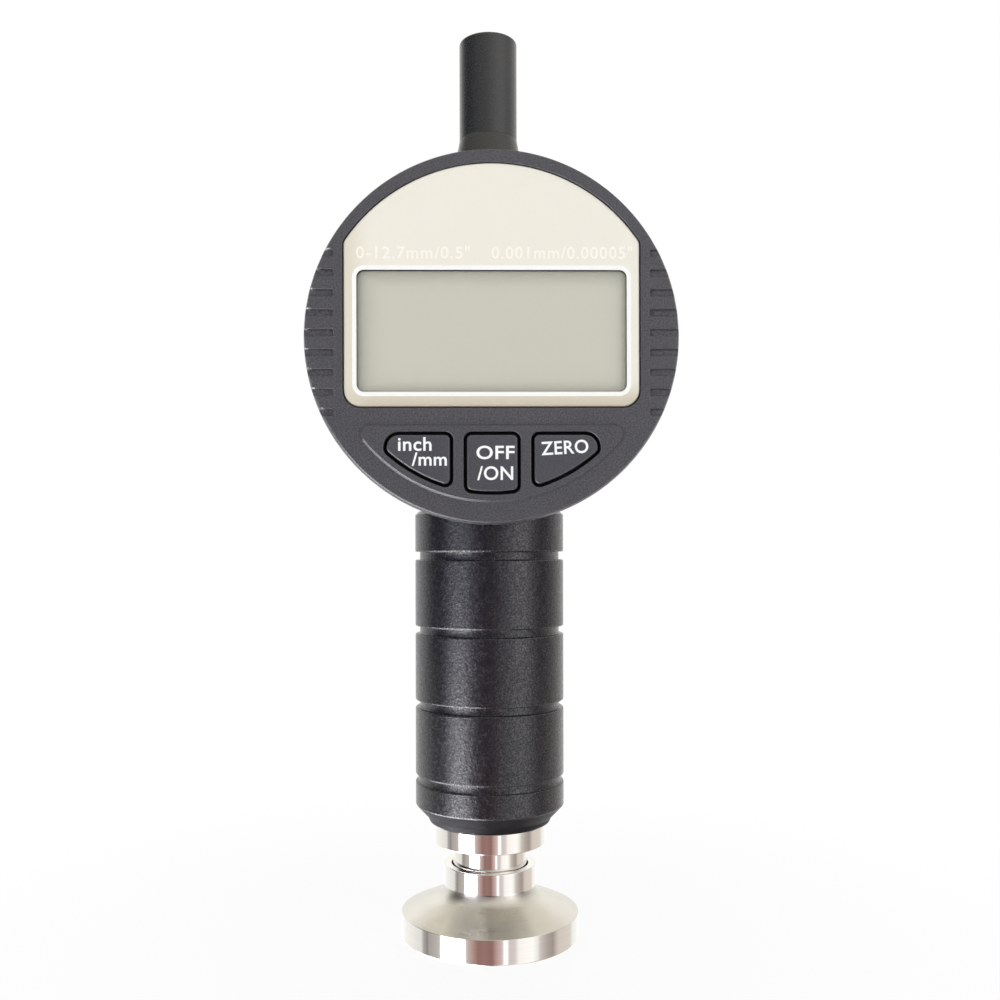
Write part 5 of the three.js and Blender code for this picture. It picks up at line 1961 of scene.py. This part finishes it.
    def key(self, node: str, bow: Bow) -> None:
        """A key: soft-edged cap, flange behind the wall and a nub over the membrane.

        Args:
            node: Name of the key's node and body.
            bow: Its outline.
        """
        back = self.wall_back + self.seat_gap
        flange = self.key_travel_back
        body = rounded([
            (-self.key_inset, self.key_front), (0.0, self.key_front, self.key_edge), (0.0, back),
            (self.key_flange, back), (self.key_flange, flange), (-self.key_inset, flange),
        ])
        piece = swept(f"{node}_cap", self.lifted(bow), body)
        about = circle(32, (bow.left + bow.right) / 2.0, HEAD_HEIGHT + bow.top - self.nub_below_top)
        carve(piece, [swept("nub", about, rod(self.nub_radius, back, flange + self.nub_stand))], Carving.JOIN)
        # painted shade on the key's sides, down in the gap
        paint_faces(piece, KEY_GREY, PAINTED_GAP_SHADE, self.on_key_side)
        seat(piece, KEY_GREY, node, node)

    def on_key_side(self, middles: Array, _normals: Array) -> Array:
        """Mask of a key's faces behind its soft edge, which take painted shade."""
        return middles[:, 1] > self.key_front + self.key_paint

    @staticmethod
    def print_words(rows: Sequence[Words], ink: Ink, depth: float, spacing: float, weight: float) -> None:
        """Prints words on a face.

        Args:
            rows: The words.
            ink: Their finish.
            depth: Depth of the face.
            spacing: Distance between letters as a share of the font's own.
            weight: How far the strokes are widened.
        """
        for row in rows:
            place = (row.x, depth, HEAD_HEIGHT + row.z)
            piece = lettering(row.name, row.text, row.height, row.width, place, spacing, weight, row.tilt)
            seat(piece, ink, row.body)

    def build(self) -> None:
        """Makes the display's pieces."""
        self.bezel()
        self.label()
        self.border()
        self.print_words(PANEL_WORDS, PALE_INK, self.panel_front, spacing=1.12, weight=0.02)
        self.window()
        self.lcd()
        for node, bow in self.keys.items():
            self.key(node, bow)
        self.print_words(KEY_WORDS, KEY_INK, self.key_front, spacing=1.05, weight=0.034)


# Parts kept as they are


@dataclass(frozen=True)
class InnerParts:
    """Finishes of the model's own nodes that need no new shape."""

    finishes: tuple[tuple[Finish, tuple[str, ...]], ...] = (
        (GROUND, ("stem", "stem_nut", "spindle", "extension_rod", "carrier_grub_screw", "guide_pin")),
        (GROUND_BACK, ("sensor_screw_1", "sensor_screw_2", "guide_rail", "rail_screw_1", "rail_screw_2",
                       "retaining_clip", "battery_contact", "drum_screw_1", "drum_screw_2", "drum_screw_3",
                       "drum_screw_4")),
        (BRONZE, ("lower_bush", "upper_bush")),
        (CELL, ("battery",)),
        (BOARD, ("sensor_board", "main_board", "scale_strip")),
        (RUBBER_BLACK, ("stop_bumper", "contact_strip_upper", "contact_strip_lower", "keypad_membrane")),
        (CASE_BLACK, ("scale_carrier",)),
        (KEY_GREY, ("glass_frame", "display_drum")),
    )

    def dress(self, nodes: dict[str, Piece]) -> None:
        """Puts each finish in its nodes' material slots.

        Args:
            nodes: The frame's nodes by name.
        """
        for finish, names in self.finishes:
            for name in names:
                slots = nodes[name].data.materials
                if not slots:
                    slots.append(None)
                for place in range(len(slots)):
                    slots[place] = finish.material()
            LOG.info("%s on %s", finish.name, ", ".join(names))


# Studio


@dataclass(frozen=True)
class PanelRow:
    """Tones of the studio's reflecting panels at one height of view.

    Each tone is (turn, red, green, blue): the turn from the front in degrees, left negative.
    """

    tones: tuple[tuple[float, float, float, float], ...]

    def paint(self, ramp: bpy.types.ColorRamp) -> None:
        """Writes the tones into a colour ramp whose position is (turn + 180) / 360.

        Args:
            ramp: The ramp, which loses its own tones.
        """
        while len(ramp.elements) > 1:
            ramp.elements.remove(ramp.elements[-1])
        for place, (turn, *colour) in enumerate(self.tones):
            position = (turn + 180.0) / 360.0
            element = ramp.elements[0] if place == 0 else ramp.elements.new(position)
            element.position = position
            element.color = (*colour, 1.0)


LOW_PANELS = PanelRow((
    (-180, 1.2, 1.2, 1.2), (-128, 1.05, 1.04, 1.02), (-101, 0.92, 0.90, 0.86), (-96, 0.44, 0.42, 0.40),
    (-92, 0.44, 0.41, 0.39), (-90, 0.26, 0.25, 0.24), (-87, 0.46, 0.43, 0.41), (-68, 0.62, 0.58, 0.55),
    (-65, 5.5, 5.5, 5.6), (-37, 5.5, 5.5, 5.6), (-33, 0.72, 0.65, 0.63), (-25, 0.55, 0.39, 0.36),
    (-17, 0.34, 0.19, 0.17), (-9, 0.37, 0.22, 0.20), (1, 0.32, 0.18, 0.16), (6, 0.56, 0.37, 0.35),
    (14, 0.76, 0.62, 0.60), (16, 1.4, 1.4, 1.4), (20, 1.4, 1.4, 1.4), (22, 0.74, 0.66, 0.66),
    (30, 0.80, 0.73, 0.71), (35, 1.15, 1.12, 1.10), (54, 1.25, 1.24, 1.20), (62, 0.98, 0.97, 0.92),
    (65, 0.72, 0.68, 0.65), (76, 0.52, 0.46, 0.42), (86, 0.42, 0.36, 0.33), (92, 0.66, 0.57, 0.53),
    (97, 0.78, 0.70, 0.65), (124, 0.82, 0.77, 0.70), (132, 1.05, 1.03, 1.0), (180, 1.2, 1.2, 1.2),
))
LEVEL_PANELS = PanelRow((
    (-180, 1.0, 1.0, 0.99), (-122, 1.0, 1.0, 0.99), (-108, 0.34, 0.33, 0.33), (-98, 0.09, 0.09, 0.10),
    (-80, 0.10, 0.10, 0.13), (-64, 0.34, 0.34, 0.46), (-52, 0.66, 0.66, 0.90), (-38, 0.68, 0.68, 0.88),
    (-24, 0.38, 0.37, 0.44), (-11, 0.09, 0.08, 0.09), (1, 0.06, 0.055, 0.06), (14, 0.30, 0.27, 0.28),
    (28, 0.78, 0.74, 0.76), (40, 1.50, 1.46, 1.48), (54, 1.65, 1.60, 1.62), (68, 0.70, 0.66, 0.67),
    (82, 0.12, 0.11, 0.11), (96, 0.26, 0.24, 0.24), (122, 0.80, 0.78, 0.75), (150, 1.0, 0.99, 0.97),
    (180, 1.0, 1.0, 0.99),
))
HIGH_PANELS = PanelRow((
    (-180, 1.20, 1.18, 1.12), (-135, 1.20, 1.18, 1.12), (-110, 0.14, 0.14, 0.14), (-98, 0.04, 0.04, 0.04),
    (-72, 0.05, 0.05, 0.05), (-54, 0.15, 0.15, 0.15), (-36, 0.32, 0.31, 0.30), (-18, 0.52, 0.50, 0.48),
    (0, 0.76, 0.73, 0.70), (15, 1.0, 0.97, 0.94), (32, 1.15, 1.12, 1.08), (60, 1.2, 1.17, 1.13),
    (86, 0.80, 0.77, 0.74), (112, 1.0, 0.96, 0.92), (140, 1.1, 1.06, 1.0), (180, 1.20, 1.18, 1.12),
))


@dataclass
class Studio:
    """Pale floor, soft light and the camera.

    The floor's half width, the clip start, the aim's height and the lamps are given in metres.
    """

    floor_half: float = 6.0
    floor_tone: Rgb = (0.95, 0.95, 0.95)
    floor_glow: float = 0.90
    shadow_band: Pair = (30.0, 130.0)
    backdrop: Rgb = (1.0, 1.0, 1.0)
    fill: Rgb = (0.52, 0.52, 0.52)
    zenith: Rgb = (0.92, 0.87, 0.76)
    level_band: Pair = (-0.26, -0.04)  # upward share of a ray's direction, as in the next three
    high_band: Pair = (0.05, 0.40)
    zenith_band: Pair = (0.46, 0.78)
    card_height: Pair = (-0.56, -0.44)
    card: Rgb = (10.0, 10.0, 10.4)
    card_left: Pair = (0.15, 0.19)  # share of a full turn, as in the next one
    card_right: Pair = (0.40, 0.47)
    distance: float = 187.0
    camera_x: float = -5.65
    camera_height: float = 67.6
    yaw: float = -0.8
    roll: float = -0.138
    lens: float = 38.16
    sensor: float = 36.0
    shift_up: float = 0.0495
    shift_right: float = 0.0281
    clip_start: float = 0.005
    aim_height: float = 0.085

    @staticmethod
    def rays(nodes: Nodes) -> tuple[Socket, Socket]:
        """Shares of the rays that the camera sees, also through clear pieces, and of the glossy rays.

        Args:
            nodes: The tree that uses them.

        Returns:
            Both shares.
        """
        path = nodes.node("LightPath").outputs
        seen = nodes.calc("MAXIMUM", path["Is Camera Ray"], path["Is Transmission Ray"])
        return seen, path["Is Glossy Ray"]

    def floor(self) -> None:
        """Pale floor: white to the camera, less so near the foot, where the shadow lies.

        Glossy rays pass it, so that metal shows the studio's panels all the way down.
        """
        half = self.floor_half
        corners = [(-half, -half, 0.0), (half, -half, 0.0), (half, half, 0.0), (-half, half, 0.0)]
        mesh = bpy.data.meshes.new("studio_floor")
        mesh.from_pydata(corners, [], [(0, 1, 2, 3)])
        floor = add("studio_floor", mesh)
        recipe = Recipe("studio_floor")
        recipe.tree.nodes.remove(recipe.shader)
        paint, glow, clear = (recipe.node(kind) for kind in ("BsdfDiffuse", "Emission", "BsdfTransparent"))
        recipe.put(paint.inputs["Color"], self.floor_tone)
        seen, glossy = self.rays(recipe)
        x, y, _ = recipe.split(recipe.place)
        near, far = (edge * MM for edge in self.shadow_band)
        glowing = recipe.span(recipe.length(x, y), near, far, self.floor_glow, 1.0)
        lit, passed = recipe.node("MixShader"), recipe.node("MixShader")
        recipe.fill(lit, recipe.times(seen, glowing), paint.outputs[0], glow.outputs[0])
        recipe.fill(passed, glossy, lit.outputs[0], clear.outputs[0])
        recipe.show(passed)
        mesh.materials.append(recipe.material)

    def world(self) -> None:
        """White backdrop; metal and gloss show a ring of panels that changes with height.

        The turn is atan2(x, -y) of the direction. Three rings of tones, low, level and high, blend
        into each other with the direction's z, and above them lies an even ceiling. A bright card
        low on the left draws the thin light lines along the rounded edges that face it.
        """
        world = bpy.data.worlds.new("studio")
        bpy.context.scene.world = world
        world.use_nodes = True
        nodes = Nodes(world.node_tree)
        output, background = nodes.node("OutputWorld"), nodes.node("Background")
        x, y, z = nodes.split(nodes.node("TexCoord").outputs["Generated"])
        turn = nodes.calc("ARCTAN2", x, nodes.times(y, -1.0))
        share = nodes.calc("ADD", nodes.calc("DIVIDE", turn, 2.0 * math.pi), 0.5)
        rings = []
        for row in (LOW_PANELS, LEVEL_PANELS, HIGH_PANELS):
            ramp = nodes.node("ValToRGB")
            row.paint(ramp.color_ramp)
            rings.append(nodes.fill(ramp, share))
        mirrored = rings[0]
        for band, upper in ((self.level_band, rings[1]), (self.high_band, rings[2]),
                            (self.zenith_band, self.zenith)):
            mirrored = nodes.blend(nodes.span(z, *band), mirrored, upper)
        right_of = nodes.span(share, *self.card_left)
        left_of = nodes.span(share, *self.card_right, 1.0, 0.0)
        on_card = nodes.times(nodes.span(z, *self.card_height, 1.0, 0.0), nodes.times(right_of, left_of))
        mirrored = nodes.blend(on_card, mirrored, self.card)
        seen, glossy = self.rays(nodes)
        light = nodes.blend(glossy, self.fill, mirrored)
        nodes.put(background.inputs["Color"], nodes.blend(seen, light, self.backdrop))
        nodes.put(output.inputs["Surface"], background.outputs[0])

    def lamp(self, name: str, place: tuple[float, float, float], size: float, watts: float) -> None:
        """Soft square lamp aimed at the middle of the object and hidden from camera and gloss.

        Args:
            name: Name of the lamp.
            place: Where it stands.
            size: Its width.
            watts: Its power.
        """
        light = bpy.data.lights.new(name, "AREA")
        light.shape = "SQUARE"
        light.size = size
        light.energy = watts
        lamp = add(name, light)
        eye = Vector(place)
        lamp.rotation_euler = (eye - Vector((0.0, 0.0, self.aim_height))).to_track_quat("Z", "Y").to_euler()
        lamp.location = eye
        lamp.visible_camera = False
        lamp.visible_glossy = False

    def camera(self) -> None:
        """Level camera in front of the display, at the photograph's distance and height."""
        data = bpy.data.cameras.new("view_camera")
        data.lens = self.lens
        data.sensor_width = self.sensor
        data.sensor_fit = "HORIZONTAL"
        data.shift_x = self.shift_right
        data.shift_y = self.shift_up
        data.clip_start = self.clip_start
        camera = add("view_camera", data)
        place = Matrix.Translation((self.camera_x * MM, -self.distance * MM, self.camera_height * MM))
        turn = Matrix.Rotation(math.radians(self.yaw), 4, "Z") @ Matrix.Rotation(math.pi / 2.0, 4, "X")
        camera.matrix_world = place @ turn @ Matrix.Rotation(math.radians(self.roll), 4, "Z")
        bpy.context.scene.camera = camera

    def build(self) -> None:
        """Makes the studio."""
        bpy.context.scene.view_settings.view_transform = "Standard"
        self.camera()
        self.floor()
        self.world()
        self.lamp("left_lamp", (-0.34, -0.42, 0.06), 0.35, 1.75)
        self.lamp("right_lamp", (0.40, -0.36, 0.16), 0.35, 0.95)
        self.lamp("back_lamp", (0.05, 0.5, 0.35), 0.4, 1.1)


def main() -> None:
    logging.basicConfig(level=logging.INFO, format="%(message)s")
    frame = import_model()
    Studio().build()
    for assembly in (Foot(), Handle(), Needle(), ReturnSpring(), Case(), Display()):
        LOG.info("building %s", type(assembly).__name__)
        assembly.build()
    InnerParts().dress(frame["nodes"])
    bpy.context.view_layer.update()


if __name__ == "__main__":
    main()
